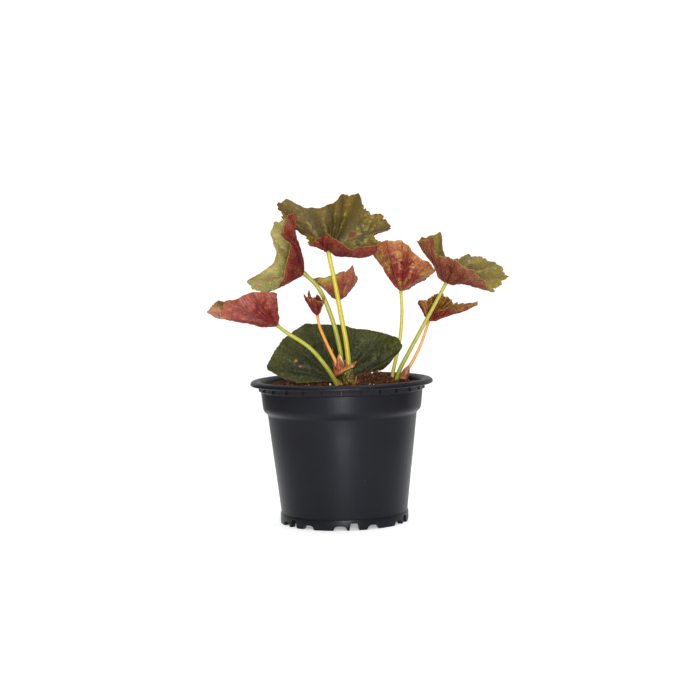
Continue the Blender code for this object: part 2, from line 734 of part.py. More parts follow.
def make_leaf(name):
    leaf = LEAVES[name]
    upper, normals = [leaf["base"].copy()], [Vector()]
    rows = []
    for s_values, t in blade_rings(leaf):
        rows.append((list(range(len(upper), len(upper) + len(s_values))), s_values))
        for s in s_values:
            reach = t * edge_reach(leaf, s) ** t
            normal = blade_normal(leaf, s, reach)
            quilt = leaf["quilt"] * between_ribs(leaf, s) * math.sin(math.pi * t * 0.85)
            upper.append(blade_point(leaf, s, reach) + normal * quilt)
            normals.append(normal)
    for k in rows[0][0]:
        normals[0] += normals[k]
    normals[0].normalize()

    count = len(upper)
    points = upper + [p - n * BLADE_THICKNESS for p, n in zip(upper, normals)]
    triangles = []
    first_row = rows[0][0]
    for a, b in zip(first_row, first_row[1:]):
        triangles.append((0, a, b))
    for (low, low_s), (high, high_s) in zip(rows, rows[1:]):
        triangles += zip_rows(low, low_s, high, high_s)
    faces = list(triangles) + [(c + count, b + count, a + count) for a, b, c in triangles]

    edge = [0] + [row[0] for row, _ in rows] + rows[-1][0][1:] + [row[-1] for row, _ in reversed(rows[:-1])]
    for a, b in zip(edge, edge[1:] + edge[:1]):
        faces.append((a, a + count, b + count))
        faces.append((a, b + count, b))
    if name in MAROON_LEAVES:
        colour = "blade_maroon"
    else:
        colour = "blade_dark_green" if name == "leaf_low" else "blade_olive"
    return add_object(name, points, faces, colour)


# Stalks and stem


def stalk_path(stalk):
    """Places up the stalk, about 5 mm apart, from its foot to just under its leaf."""
    route = stalk["route"] + [LEAVES[stalk["leaf"]]["base"]]
    steps = 3 * (len(route) - 1)
    return [spline(route, (len(route) - 1) * k / steps) for k in range(steps + 1)]


def stalk_radii(stalk, path):
    foot, top = stalk["radii"]
    return [foot + (top - foot) * k / (len(path) - 1) for k in range(len(path))]


def shortened(path, radius, blade):
    """The path with its end drawn back until the stalk is clear of the blade."""
    tree = BVHTree.FromObject(blade, bpy.context.evaluated_depsgraph_get())
    direction = (path[-1] - path[-2]).normalized()
    across = direction.orthogonal().normalized()
    sideways = direction.cross(across)
    places = [Vector()]
    for back in range(5):
        for share in (1.0, 0.5):
            for k in range(12):
                turn = math.pi * k / 6
                out = (across * math.cos(turn) + sideways * math.sin(turn)) * radius * share
                places.append(out - direction * (back * 0.8 * mm))
    end = path[-1].copy()
    for _ in range(80):
        if min(tree.find_nearest(end + place)[3] for place in places) >= CLEARANCE * 1.1:
            break
        end -= direction * 0.1 * mm
    return path[:-1] + [end]


def make_stalk(name, blade):
    stalk = STALKS[name]
    path = stalk_path(stalk)
    radii = stalk_radii(stalk, path)
    path = shortened(path, radii[-1], blade)
    colour = "stalk_orange" if name in ORANGE_STALKS else "stalk_green"
    return tube(name, path, radii, STALK_SIDES, colour)


def stalk_hole(name):
    """A cutter for the plain hole that a stalk stands in: its own foot, a little wider and deeper."""
    stalk = STALKS[name]
    path = stalk_path(stalk)[:9]
    path[0] = path[0] + (path[0] - path[1]).normalized() * CLEARANCE
    radii = [r + CLEARANCE + 0.1 * mm for r in stalk_radii(stalk, stalk_path(stalk))[:9]]
    return tube(f"hole_for_{name}", path, radii, STALK_SIDES, None)


def stem_shape(widening):
    route = STEM["route"]
    steps = 12
    path = [spline(route, (len(route) - 1) * k / steps) for k in range(steps + 1)]
    radii = [
        STEM["radius"] + widening + STEM["knob"] * math.sin(2.1 * k + 0.4) * (0.4 + 0.6 * k / steps)
        for k in range(steps + 1)
    ]
    return path, radii


def make_stem():
    path, radii = stem_shape(0)
    return tube("stem", path, radii, 12, "stem")


def stem_hole():
    path, radii = stem_shape(CLEARANCE + 0.1 * mm)
    path[0] = path[0] - Vector((0, 0, CLEARANCE))
    return tube("hole_for_stem", path, radii, 12, None)


def facing(turn, middle_degrees, half_width_degrees):
    """1 in the middle of a scale, falling to 0 at its sides."""
    away = abs((math.degrees(turn) - middle_degrees + 180) % 360 - 180) / half_width_degrees
    return max(0.0, 1 - away)


def make_sheath():
    """A papery cup with pointed scales, standing on the stem and holding the feet of the stalks."""
    sides = 28
    points = []
    for inside in (False, True):
        for level in (0.0, 0.25, 0.6, 1.0):
            for k in range(sides):
                turn = 2 * math.pi * k / sides
                height = SHEATH["low"]
                flare = 0.0
                for scale in SHEATH_SCALES:
                    share = facing(turn, scale["faces"], scale["half_width"])
                    height = max(height, scale["height"] * share**0.8)
                    flare += scale["flare"] * share
                spread = min(1.0, level * 3.2)
                radius = SHEATH["foot_radius"] + (SHEATH["radius"] - SHEATH["foot_radius"]) * spread
                radius += flare * level**2 - (SHEATH_WALL if inside else 0)
                z = height * level if not inside else SHEATH["floor"] + (height - SHEATH["floor"]) * level
                lean = SHEATH["lean"] * z
                points.append(
                    SHEATH["middle"] + Vector((radius * math.cos(turn) + lean, radius * math.sin(turn), z))
                )
    faces = []
    rows = len(points) // sides
    outer_top, inner_floor = 3, 4
    order = [0, 1, 2, 3, 7, 6, 5, 4]
    for low, high in zip(order, order[1:]):
        for k in range(sides):
            after = (k + 1) % sides
            faces.append((low * sides + k, low * sides + after, high * sides + after, high * sides + k))
    assert rows == len(order) and outer_top < inner_floor
    faces.append(tuple(reversed(range(sides))))
    faces.append(tuple(range(inner_floor * sides, (inner_floor + 1) * sides)))
    return add_object("sheath", points, faces, "sheath")


def make_scale(name):
    """A pointed trough that clasps one side of a stalk's foot."""
    scale = SCALES[name]
    stalk = STALKS[scale["stalk"]]
    route = stalk["route"] + [LEAVES[stalk["leaf"]]["base"]]
    last = len(route) - 1
    levels, spokes = 7, 8
    stalk_radius = stalk["radii"][0]
    points = []
    for outside in (False, True):
        for i in range(levels + 1):
            share = i / levels
            centre = spline(route, last * (scale["start"] + scale["length"] * share))
            width = math.radians(scale["half_width"]) * (1 - share**1.6 * 0.92)
            radius = stalk_radius + scale["gap"] + 0.5 * mm * math.sin(math.pi * share)
            radius += SHEATH_WALL if outside else 0
            for j in range(spokes + 1):
                turn = math.radians(scale["faces"]) + width * (2 * j / spokes - 1)
                points.append(centre + Vector((radius * math.cos(turn), radius * math.sin(turn), 0)))
    row = spokes + 1
    half = len(points) // 2
    faces = []
    for i in range(levels):
        for j in range(spokes):
            a, b = i * row + j, i * row + j + 1
            faces.append((a, b, b + row, a + row))
            faces.append((a + half, a + row + half, b + row + half, b + half))
    edge = [j for j in range(row)]
    edge += [i * row + spokes for i in range(1, levels + 1)]
    edge += [levels * row + j for j in range(spokes - 1, -1, -1)]
    edge += [i * row for i in range(levels - 1, 0, -1)]
    for a, b in zip(edge, edge[1:] + edge[:1]):
        faces.append((a, a + half, b + half, b))
    return add_object(name, points, faces, "sheath")


def main():
    clear_scene()
    make_pot()
    standing = [stem_hole()]
    make_stem()
    make_sheath()
    blades = {name: make_leaf(name) for name in LEAVES}
    for name, stalk in STALKS.items():
        make_stalk(name, blades[stalk["leaf"]])
        if stalk["route"][0].z < SOIL_LEVEL:
            standing.append(stalk_hole(name))
    for name in SCALES:
        make_scale(name)
    make_soil(standing)


main()
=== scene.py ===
# The finish of a young begonia in a round black nursery pot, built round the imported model.
# Metres, +Z up, the middle of the pot's underside at the origin, the viewer at -Y.

import math
import random

import bmesh
import bpy
import numpy as np
from mathutils import Euler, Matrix, Vector, kdtree, noise


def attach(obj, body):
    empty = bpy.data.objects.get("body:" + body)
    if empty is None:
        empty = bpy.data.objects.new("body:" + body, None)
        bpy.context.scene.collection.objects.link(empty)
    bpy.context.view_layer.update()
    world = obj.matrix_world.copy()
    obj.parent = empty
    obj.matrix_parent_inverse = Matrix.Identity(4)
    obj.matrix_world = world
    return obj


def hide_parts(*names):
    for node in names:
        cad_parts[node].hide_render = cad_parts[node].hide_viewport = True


mm = 0.001
noise.seed_set(7)  # noise_vector would otherwise change from run to run
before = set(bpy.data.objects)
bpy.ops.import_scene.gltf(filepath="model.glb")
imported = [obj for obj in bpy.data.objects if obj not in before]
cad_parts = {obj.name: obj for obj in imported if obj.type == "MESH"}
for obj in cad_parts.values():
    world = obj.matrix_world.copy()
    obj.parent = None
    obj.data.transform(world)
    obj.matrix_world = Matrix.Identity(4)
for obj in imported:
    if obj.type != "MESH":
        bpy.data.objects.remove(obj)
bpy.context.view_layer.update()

# where the camera stands, which is also where seen() looks from
eye = {"x": 6, "z": 183, "away": 1100}
shot = {"pitch": 3.66, "roll": 1.3, "lens": 86.28}
studio = {
    "room": 0.14,
    "sky": (1.0, 0.99, 0.97, 1),
    "backdrop": 1.1,
    "floor": 0.27,
    "lamps": {
        "key": {
            "kind": "AREA",
            "place": (0.1, -1.2, 0.5),
            "aim": (0, 0, 0.12),
            "size": (0.3, 0.3),
            "power": 8.3,
        },
        "strip": {
            "kind": "AREA",
            "place": (0.02, -1.3, 0.02),
            "aim": (0, 0, 0.06),
            "size": (0.12, 0.6),
            "power": 17,
        },
        "overhead": {"kind": "SUN", "place": (0, 0, 2), "aim": (0, 0, 0), "soft": 70, "power": 2.0},
        "behind": {"kind": "SUN", "place": (0.3, 1.0, 0.45), "aim": (0, 0, 0), "soft": 110, "power": 1.5},
    },
}


def at(x, y, z):
    return Vector((x, y, z)) * mm


def seen(x, y, z):  # a place seen at x and z on the upright plane through the axis, but y behind it
    spread = 1 + y / eye["away"]
    return at(eye["x"] + (x - eye["x"]) * spread, y, eye["z"] + (z - eye["z"]) * spread)


def outward(turn):  # level, away from the axis
    return Vector((math.cos(turn), math.sin(turn), 0))


def rib(middle, tip):  # a leaf's spoke along a main vein
    return {"middle": seen(*middle), "tip": seen(*tip), "rib": True}


def web(middle, tip):  # a spoke between the main veins
    return {"middle": seen(*middle), "tip": seen(*tip), "rib": False}


# Shader sums


class Wire:  # an output socket that Python's arithmetic can be done with
    def __init__(self, finish, socket):
        self.finish = finish
        self.socket = socket

    def maths(self, operation, first, second):
        return self.finish.node("ShaderNodeMath", {"operation": operation}, {0: first, 1: second})

    def __add__(self, other):
        return self.maths("ADD", self, other)

    def __radd__(self, other):
        return self.maths("ADD", other, self)

    def __sub__(self, other):
        return self.maths("SUBTRACT", self, other)

    def __rsub__(self, other):
        return self.maths("SUBTRACT", other, self)

    def __mul__(self, other):
        return self.maths("MULTIPLY", self, other)

    def __rmul__(self, other):
        return self.maths("MULTIPLY", other, self)


class Finish:  # a material in the making
    def __init__(self, name, fixed):
        self.material = bpy.data.materials.new(name)
        self.material.use_nodes = True
        self.tree = self.material.node_tree
        self.shader = self.tree.nodes["Principled BSDF"]
        for socket, value in fixed.items():
            self.shader.inputs[socket].default_value = value

    def node(self, kind, settings, sockets, output=0):
        made = self.tree.nodes.new(kind)
        for setting, value in settings.items():
            setattr(made, setting, value)
        for socket, value in sockets.items():
            self.feed(made.inputs[socket], value)
        return Wire(self, made.outputs[output])

    def feed(self, socket, value):
        if isinstance(value, Wire):
            self.tree.links.new(value.socket, socket)
        elif isinstance(value, tuple) and len(value) == 3 and socket.type == "RGBA":
            socket.default_value = (*value, 1)
        else:
            socket.default_value = value

    def set(self, socket, value):
        self.feed(self.shader.inputs[socket], value)

    def place(self):  # metres, in the frame of the whole plant
        return self.node("ShaderNodeTexCoord", {}, {}, "Object")

    def stretched(self, x, y, z):
        return self.node("ShaderNodeVectorMath", {"operation": "MULTIPLY"}, {0: self.place(), 1: (x, y, z)})

    def marked(self, name):
        return self.node("ShaderNodeAttribute", {"attribute_name": name}, {}, "Fac")

    def cloud(self, grain, detail=3.0, where=None, bend=0.0):  # grain in mm
        sockets = {"Scale": 1000 / grain, "Detail": detail, "Roughness": 0.55, "Distortion": bend}
        sockets["Vector"] = where or self.place()
        return self.node("ShaderNodeTexNoise", {}, sockets, "Fac")

    def cells(self, grain, feature="F1", where=None):
        sockets = {"Scale": 1000 / grain, "Vector": where or self.place()}
        return self.node("ShaderNodeTexVoronoi", {"feature": feature}, sockets, "Distance")

    def warped(self, grain, far):  # the place shifted about by up to half of far, in mm
        sockets = {"Scale": 1000 / grain, "Detail": 2.0, "Vector": self.place()}
        drift = self.node("ShaderNodeTexNoise", {}, sockets, "Color")
        sockets = {0: drift, 1: (far * mm,) * 3, 2: self.place()}
        return self.node("ShaderNodeVectorMath", {"operation": "MULTIPLY_ADD"}, sockets)

    def between(self, value, low, high):  # 0 below low, 1 above high, smooth in the middle
        sockets = {"Value": value, "From Min": low, "From Max": high}
        return self.node("ShaderNodeMapRange", {"interpolation_type": "SMOOTHSTEP"}, sockets)

    def blend(self, share, under, over):  # colours
        return self.node("ShaderNodeMix", {"data_type": "RGBA"}, {0: share, 6: under, 7: over}, 2)

    def bump(self, height, depth, below=None):  # depth in mm for a height of 1
        sockets = {"Height": height, "Distance": depth * mm, "Strength": 1.0}
        if below:
            sockets["Normal"] = below
        return self.node("ShaderNodeBump", {}, sockets, "Normal")


# Meshes


def makePiece(name, points, faces, finishes, picks=None):
    mesh = bpy.data.meshes.new(name)
    mesh.from_pydata([tuple(p) for p in points], [], faces)
    for finish in finishes:
        mesh.materials.append(finish.material)
    if picks is not None:
        mesh.polygons.foreach_set("material_index", picks)
    mesh.shade_smooth()
    obj = bpy.data.objects.new(name, mesh)
    bpy.context.collection.objects.link(obj)
    return obj


def mark(obj, name, values):
    layer = obj.data.attributes.new(name, "FLOAT", "POINT")
    layer.data.foreach_set("value", np.asarray(values, dtype=np.float32))


def splineRow(places, s):  # smooth curve through the places, at every value of s
    places = np.array([tuple(p) for p in places])
    s = np.atleast_1d(np.asarray(s, dtype=float))
    last = len(places) - 1
    k = np.clip(s.astype(int), 0, last - 1)
    t = (s - k)[:, None]
    a, b = places[k], places[k + 1]
    before = np.where((k > 0)[:, None], places[np.maximum(k - 1, 0)], a * 2 - b)
    after = np.where((k + 2 <= last)[:, None], places[np.minimum(k + 2, last)], b * 2 - a)
    rise = 3 * t * t - 2 * t**3
    return (
        b * rise
        + a * (1 - rise)
        + (b - before) * ((t**3 - 2 * t * t + t) / 2)
        + (after - a) * ((t**3 - t * t) / 2)
    )


def unit(rows):
    return rows / np.maximum(np.linalg.norm(rows, axis=-1, keepdims=True), 1e-12)


def addNet(points, faces, more, sides):  # adds one closed net to those of a piece
    faces += [tuple(len(points) + v for v in face) for face in sides]
    points += more


def tubeFaces(levels, sides):  # the wall and both ends of a tube of so many rings of points
    faces = []
    for k in range(levels - 1):
        for j in range(sides):
            after = (j + 1) % sides
            faces.append((k * sides + j, k * sides + after, (k + 1) * sides + after, (k + 1) * sides + j))
    faces.append(tuple(reversed(range(sides))))
    faces.append(tuple(range((levels - 1) * sides, levels * sides)))
    return faces


# The leaves, with their spokes anticlockwise as seen from above the blade, as in the solids.
# In mm: quilt is the bulge between the main veins, pucker the height of the small cells, swell that of
# broad lumps, ruffle and pleat the waves of the margin, and cusp the points at the main veins.
# the furrow shade is how strongly a painted shade darkens the valleys along the main veins, scallop the
# share of the edge's coarse waves, calm the stretches, counted in spokes, where the teeth nearly vanish,
# columns those of faces from one spoke to the next, and dabs are coloured spots, placed as seen from the
# eye.
leaves = {
    "leaf_top": {
        "base": seen(-7, -15, 178.8),
        "spokes": [
            rib((-5.5, -22, 181), (-5.4, -27.4, 188.2)),
            web((-2, -23.5, 177.8), (-1.2, -30, 185.2)),
            rib((3.5, -24, 175.4), (8.1, -32, 179.0)),
            web((8, -22, 173.8), (12.5, -30, 180.8)),
            rib((13.5, -18, 174.6), (26, -23, 180.6)),
            web((14, -12.5, 181), (26.6, -14, 183.4)),
            web((14.5, -9.5, 185.6), (24.0, -10, 188.6)),
            rib((18, -7, 188), (34.8, -5, 191.5)),
            web((14, -2, 187), (29.8, 5, 200.8)),
            web((10, 1, 189.5), (20.5, 11, 203.6)),
            rib((4.5, 2, 192), (13.8, 17, 214.2)),
            rib((-0.5, 3, 192.5), (3.2, 19, 214.6)),
            rib((-5, 2, 191), (-5.5, 19, 208.8)),
            rib((-11, 0, 190.5), (-17.5, 18, 206.9)),
            web((-16, -1, 191.5), (-26, 17, 209.0)),
            web((-19, -3, 192), (-33.2, 14, 213.2)),
            rib((-20.5, -5, 191), (-40.8, 11, 209.4)),
            web((-20, -7, 189.5), (-37.6, 7.5, 205)),
            web((-19, -9, 188), (-38, 4, 199.6)),
            rib((-17.3, -11.3, 188), (-28.2, -3, 192.4)),
            web((-15, -13.2, 186), (-22, -9, 188.2)),
            rib((-13.4, -14, 181.5), (-19.9, -12.5, 182.0)),
            web((-11, -16.5, 181), (-15.6, -17.5, 184.8)),
            rib((-8.4, -20.5, 181), (-8.0, -25.6, 189.4)),
            web((-6.4, -23, 181), (-5.0, -28.6, 188.2)),
        ],
        "quilt": 1.6,
        "furrow_shade": 0.9,
        "closed": True,
        "teeth": {"apart": 4.4, "deep": 2.2},
        "cusp": 0.9,
        "scallop": 0.7,
        "calm": [(-1, 3.8), (10.95, 11.05), (11.6, 15.3), (21.7, 25)],
        "pucker": 0.5,
        "swell": 0.8,
        "ruffle": 1.4,
        "columns": 20,
        "upper": "olive",
        "under": "wine",
        "dabs": {
            "upper": [
                {"x": 10.2, "z": 188.8, "size": 2.2},
                {"x": 8.0, "z": 187.6, "size": 1.7},
                {"x": 22.6, "z": 182.4, "size": 1.5},
                {"x": -40.5, "z": 209.0, "size": 3.0},
                {"x": -38.5, "z": 204.5, "size": 1.6},
            ]
        },
    },
    "leaf_upper_left": {
        "base": seen(-23.2, -2, 163.9),
        "spokes": [
            web((-33, -9, 157.4), (-42.5, -13, 153.2)),
            rib((-30.5, -11, 160.8), (-38.4, -16, 158.8)),
            web((-29.4, -12.5, 165.6), (-35.8, -18, 166.6)),
            rib((-28.6, -12.5, 170.0), (-34.3, -18.5, 173)),
            web((-27.4, -12, 173.5), (-31.8, -18.5, 180.4)),
            web((-27.3, -11, 176.5), (-33.0, -17.5, 185)),
            rib((-27.9, -10, 180), (-37.6, -16, 189.4)),
            web((-27.6, -8, 182.6), (-35.4, -13.5, 195.5)),
            rib((-27.6, -6.5, 183), (-33.2, -12.5, 202.4)),
            web((-27.4, -5, 183), (-29.4, -10, 204.4)),
            web((-27.6, -3.5, 183), (-27.4, -7, 198.8)),
            web((-29.5, 1, 182.5), (-35, -4, 199.8)),
            rib((-32, 5, 182), (-41.7, 1, 197.5)),
            web((-33.5, 8, 178.5), (-44.8, 6, 191)),
            web((-33.5, 10.5, 174), (-43.2, 10, 184.5)),
            rib((-33.5, 12, 169.5), (-41.2, 12, 175)),
            web((-37, 11.5, 165.8), (-49, 11, 167.2)),
            rib((-42, 9, 162), (-60.4, 7, 159.6)),
            web((-40, 5, 159.5), (-57.8, 3, 153.2)),
            rib((-37, 0, 158.2), (-50, -3, 151.9)),
            web((-33.5, -4, 157.6), (-43.5, -8, 152)),
        ],
        "quilt": 0.9,
        "teeth": {"apart": 2.6, "deep": 0.7},
        "pucker": 0.45,
        "swell": 0.8,
        "ruffle": 1.2,
        "columns": 17,
        "upper": "sage",
        "under": "wine",
        "dabs": {
            "upper": [
                {"x": -36.4, "z": 179.2, "size": 1.6},
                {"x": -41.5, "z": 182.0, "size": 1.3},
                {"x": -43.5, "z": 188.0, "size": 1.1},
                {"x": -42.7, "z": 161.7, "size": 1.5},
                {"x": -54.0, "z": 156.7, "size": 2.0},
                {"x": -45.3, "z": 160.4, "size": 1.4},
                {"x": -40.5, "z": 172.0, "size": 1.2},
            ]
        },
    },
    "leaf_lower_left": {
        "base": seen(-41.3, -17, 129.8),
        "spokes": [
            rib((-41.8, -10, 139.5), (-42, -11, 149.6)),
            web((-46, -7, 139.5), (-50, -4, 148.6)),
            rib((-53, -6, 138), (-60, -1, 146.6)),
            web((-58, -8, 136), (-70, -2, 144.6)),
            rib((-62, -11, 134.5), (-79.4, -5, 147.6)),
            web((-63, -13, 134), (-83.4, -9, 145)),
            rib((-63.5, -16, 134), (-87.3, -13, 139.4)),
            web((-62, -18, 133.8), (-80, -18, 139)),
            web((-61, -20, 133.4), (-79, -22, 135.4)),
            web((-60, -23, 136.4), (-76, -26, 146.0)),
            rib((-56.5, -26, 138.4), (-68.5, -29, 147.6)),
            web((-53.5, -27.5, 139.6), (-63.5, -31, 150.2)),
            rib((-50, -28, 140.6), (-57, -32, 152.2)),
            web((-46, -27, 141), (-50, -31, 152.2)),
            rib((-42.6, -24, 141), (-43, -28, 151.8)),
            web((-41.3, -19.5, 140.6), (-40.9, -21, 151.2)),
        ],
        "quilt": 1.1,
        "teeth": {"apart": 2.6, "deep": 0.6},
        "cell": 7.0,
        "scallop": 0.3,
        "calm": [(9.5, 16)],
        "pucker": 1.1,
        "swell": 0.8,
        "ruffle": 0.8,
        "columns": 18,
        "upper": "russet",
        "under": "rose",
        "dabs": {
            "under": [{"x": -86, "z": 139, "size": 6.5}, {"x": -78, "z": 133.5, "size": 3.5}],
            "upper": [{"x": -86, "z": 139, "size": 7.5}, {"x": -79, "z": 137, "size": 5}],
        },
    },
    "leaf_bud_left": {
        "base": seen(-15, -14, 136),
        "spokes": [
            rib((-12.8, -14.6, 141.5), (-9.5, -16, 148.2)),
            web((-13.4, -12.4, 142), (-12.2, -11.5, 147)),
            rib((-14.6, -11.2, 143), (-14.2, -9, 149.8)),
            web((-16, -10.8, 142.5), (-17.6, -9.2, 147.6)),
            rib((-17.4, -11.6, 143), (-20.6, -10, 152.4)),
            web((-18, -13.4, 142), (-21, -13, 148.4)),
            rib((-18.4, -14.8, 142.4), (-24.2, -15.6, 150.4)),
            web((-17.2, -16.4, 141.8), (-18.4, -18.4, 147.6)),
            rib((-15.6, -17.4, 141.5), (-16.6, -20, 148.2)),
            web((-14.2, -17.2, 141.4), (-13.8, -19.6, 145.6)),
            rib((-13, -16.4, 141.4), (-11, -18.8, 147.6)),
        ],
        "quilt": -0.5,
        "teeth": {"apart": 1.7, "deep": 0.9},
        "pucker": 0.3,
        "swell": 0.6,
        "ruffle": 1.4,
        "columns": 14,
        "pleat": {"each": 1, "deep": 0.7},
        "upper": "ember",
        "under": "dark wine",
        "dabs": {},
    },
    "leaf_back": {
        "base": seen(-0.6, 9, 145.8),
        "spokes": [
            web((6.2, 8.6, 154.2), (9.4, 9, 162)),
            web((7.0, 10, 154), (11, 11.5, 161.5)),
            rib((7, 11.5, 154), (11.4, 14, 161.4)),
            web((5, 14, 154.5), (9, 20, 163)),
            rib((1, 16, 154.5), (2, 25, 164)),
            web((-4, 15.5, 153.6), (-6, 23, 162)),
            rib((-7.6, 13, 152.4), (-13.4, 17, 161)),
            web((-8.4, 9.5, 151.6), (-17.6, 10, 160.6)),
            web((-7.4, 6, 151), (-13, 4.4, 157)),
            rib((-4.4, 4, 151.2), (-7, 0.6, 156.6)),
            web((-1.4, 3, 152.6), (-2.4, -0.4, 160.6)),
            rib((1.4, 3, 154), (2.2, -0.6, 164.6)),
            web((4, 3.6, 154.6), (5.8, 0.4, 166.2)),
            rib((6.2, 4.6, 154.4), (8.8, 2.4, 168.6)),
            web((7.4, 6.6, 154.2), (11.2, 5.6, 161.2)),
        ],
        "quilt": 0.7,
        "closed": True,
        "teeth": {"apart": 1.8, "deep": 0.4},
        "pucker": 0.25,
        "swell": 0.4,
        "ruffle": 0.8,
        "columns": 13,
        "upper": "straw",
        "under": "brown",
        "dabs": {"upper": [{"x": -15.5, "z": 160.5, "size": 3.5}]},
    },
    "leaf_low": {
        "base": seen(-1.5, 6, 91.5),
        "spokes": [
            web((12, 11, 94.8), (28.4, 17, 99.4)),
            rib((18, 12, 99), (37.6, 12, 109.4)),
            web((19, 12.5, 103), (40.8, 10, 114.6)),
            web((18, 14, 106.5), (37.9, 15, 120)),
            rib((15, 16, 109), (29.7, 20, 123)),
            web((11, 16, 110.5), (19, 22, 126)),
            rib((5, 15.5, 111), (9, 24, 127)),
            web((0, 16.5, 111.5), (2, 25.5, 129.6)),
            rib((-5, 17.5, 111.5), (-9, 26, 129.8)),
            web((-8.5, 17, 111.5), (-16, 26, 130.6)),
            rib((-12, 16, 111), (-23, 25, 130.6)),
            web((-15.5, 15.5, 109), (-31, 23, 126.2)),
            rib((-18.5, 14.5, 106), (-38, 20, 121)),
            web((-21.5, 13, 102.5), (-44, 16, 113.4)),
            rib((-24, 11, 98.4), (-49, 10, 102.2)),
            web((-19.5, 8, 94.8), (-40, 5.5, 95.8)),
            web((-15, 5.5, 92.2), (-29.7, 2.5, 91)),
        ],
        "quilt": 0.6,
        "teeth": {"apart": 2.0, "deep": 0.35},
        "scallop": 0.3,
        "pucker": 0.3,
        "swell": 1.1,
        "ruffle": 0.8,
        "columns": 20,
        "upper": "deep green",
        "under": "wine",
        "dabs": {"upper": [{"x": -29.6, "z": 106.2, "size": 1.5}, {"x": -27.1, "z": 102.8, "size": 1.3}]},
    },
    "leaf_mid_right": {
        "base": seen(40.2, 17, 150.8),
        "spokes": [
            web((39, 26, 157.6), (38, 34, 164)),
            rib((34, 26, 160.6), (29.5, 32, 170)),
            web((31.5, 21, 163), (21, 26, 175.5)),
            rib((31.4, 16, 165), (22, 17, 180)),
            web((32.2, 11.5, 167.6), (25.2, 10.5, 184.4)),
            rib((35.6, 9, 168.4), (31.6, 7.5, 184.2)),
            web((40.3, 8, 168.5), (40.8, 5.5, 184.8)),
            rib((43.4, 8.5, 167), (46, 5.5, 180.4)),
            web((46.6, 9.5, 164), (51, 6.5, 174.6)),
            rib((50, 11, 160.6), (59.5, 9, 169)),
            web((52, 14, 156.8), (64, 13, 163.4)),
            rib((49.5, 21, 155.8), (58, 23, 161)),
            web((44, 26, 157), (47, 32, 162)),
        ],
        "quilt": 1.0,
        "teeth": {"apart": 2.2, "deep": 0.5},
        "pucker": 0.4,
        "swell": 0.8,
        "ruffle": 1.0,
        "columns": 18,
        "upper": "olive",
        "under": "mottled",
        "dabs": {"under": [{"x": 41.0, "z": 169.3, "size": 1.2}]},
    },
    "leaf_upper_right": {
        "base": seen(70.2, -5, 155.6),
        "spokes": [
            web((65.4, -11.6, 163), (62.2, -14.2, 172.4)),
            rib((68, -12.8, 162.8), (66.4, -17, 173.2)),
            web((71.2, -13.6, 162.8), (72, -18.4, 172.8)),
            rib((74.5, -14.2, 161), (77.5, -19.7, 169.8)),
            web((77.5, -14, 158.8), (83, -19.5, 165)),
            rib((79.6, -13, 156.8), (88.3, -18.5, 163.6)),
            web((81.6, -11, 155.8), (92.6, -15.5, 158.8)),
            web((83.4, -8.5, 155.2), (96.6, -11.5, 155.8)),
            rib((84.4, -6, 155), (98.8, -7, 149.4)),
            web((86, -3, 155.6), (101.8, -3, 147.8)),
            web((88, 0, 156.4), (107, 1, 152.8)),
            rib((90, 2, 158.4), (110.5, 4, 158.2)),
            web((88.5, 5, 161), (107.8, 9, 165.2)),
            rib((86, 7.5, 163), (102.2, 13, 168.3)),
            web((82.5, 9, 164.4), (94.8, 17, 171.8)),
            rib((77.5, 9, 165), (84.5, 19, 174)),
            web((73, 6, 164.2), (75, 14, 171)),
            web((69.8, 3, 165), (68.8, 9, 175)),
            rib((67.6, 0.5, 170), (67, 5.5, 188.4)),
            web((64.6, -1, 170), (59.6, 2.5, 187.3)),
            rib((62.2, -2.5, 169.2), (54.7, -1, 185.8)),
            web((61, -4.5, 168), (50.4, -3.5, 183.8)),
            web((62, -7, 166.6), (54.8, -8.5, 184.2)),
            rib((63.8, -9, 166.2), (61.8, -11.2, 185.4)),
            web((65.8, -9.6, 163.4), (63.8, -11.4, 173)),
        ],
        "quilt": 1.0,
        "teeth": {"apart": 3.4, "deep": 1.7},
        "cusp": 1.2,
        "furrow_shade": 0.4,
        "closed": True,
        "calm": [(-1, 6.6), (17.6, 25)],
        "pucker": 0.35,
        "swell": 0.6,
        "ruffle": 1.0,
        "columns": 14,
        "upper": "fresh",
        "under": "copper",
        "dabs": {"upper": [{"x": 85.6, "z": 168.9, "size": 1.6}]},
    },
    "leaf_young_right": {
        "base": seen(58.4, 8, 130.9),
        "spokes": [
            web((58.2, 4.5, 136.6), (57.5, 2.4, 143.8)),
            rib((60.5, 4.2, 134.8), (62, 1.6, 141.6)),
            web((63, 4.4, 134), (67, 2.2, 139)),
            rib((66, 5, 134.2), (73, 3, 139.8)),
            web((69, 6.5, 134.6), (79.8, 5, 138)),
            rib((72, 8, 136), (87, 8, 140)),
            web((73.6, 9.4, 137), (91.8, 10, 142.3)),
            rib((71, 11, 137.6), (84, 13, 141.2)),
            web((68.5, 12.5, 138), (77.4, 16, 142)),
            rib((66, 14, 138.6), (72.2, 18, 145.4)),
            web((63.8, 14.5, 139.4), (68.3, 19.4, 148.8)),
            rib((61, 14, 139.6), (62.4, 18, 148.4)),
            web((57.8, 12, 138.4), (56, 14, 145)),
            rib((55.8, 9, 138), (52.4, 9, 144.6)),
            web((56.6, 7, 137.4), (53.6, 5, 143.8)),
        ],
        "quilt": -0.5,
        "teeth": {"apart": 1.9, "deep": 1.8},
        "pucker": 0.2,
        "swell": 0.3,
        "ruffle": 0.9,
        "columns": 15,
        "pleat": {"each": 1.5, "deep": 1.1},
        "upper": "amber",
        "under": "dark wine",
        "dabs": {},
    },
}
blade = {
    "tooth": 0.03,
    "lobe": 0.02,
    "thick": 0.5,
    "edgeThick": 0.2,
    "rows": 60,
    "cell": 4.0,
    "vein": 0.6,
}


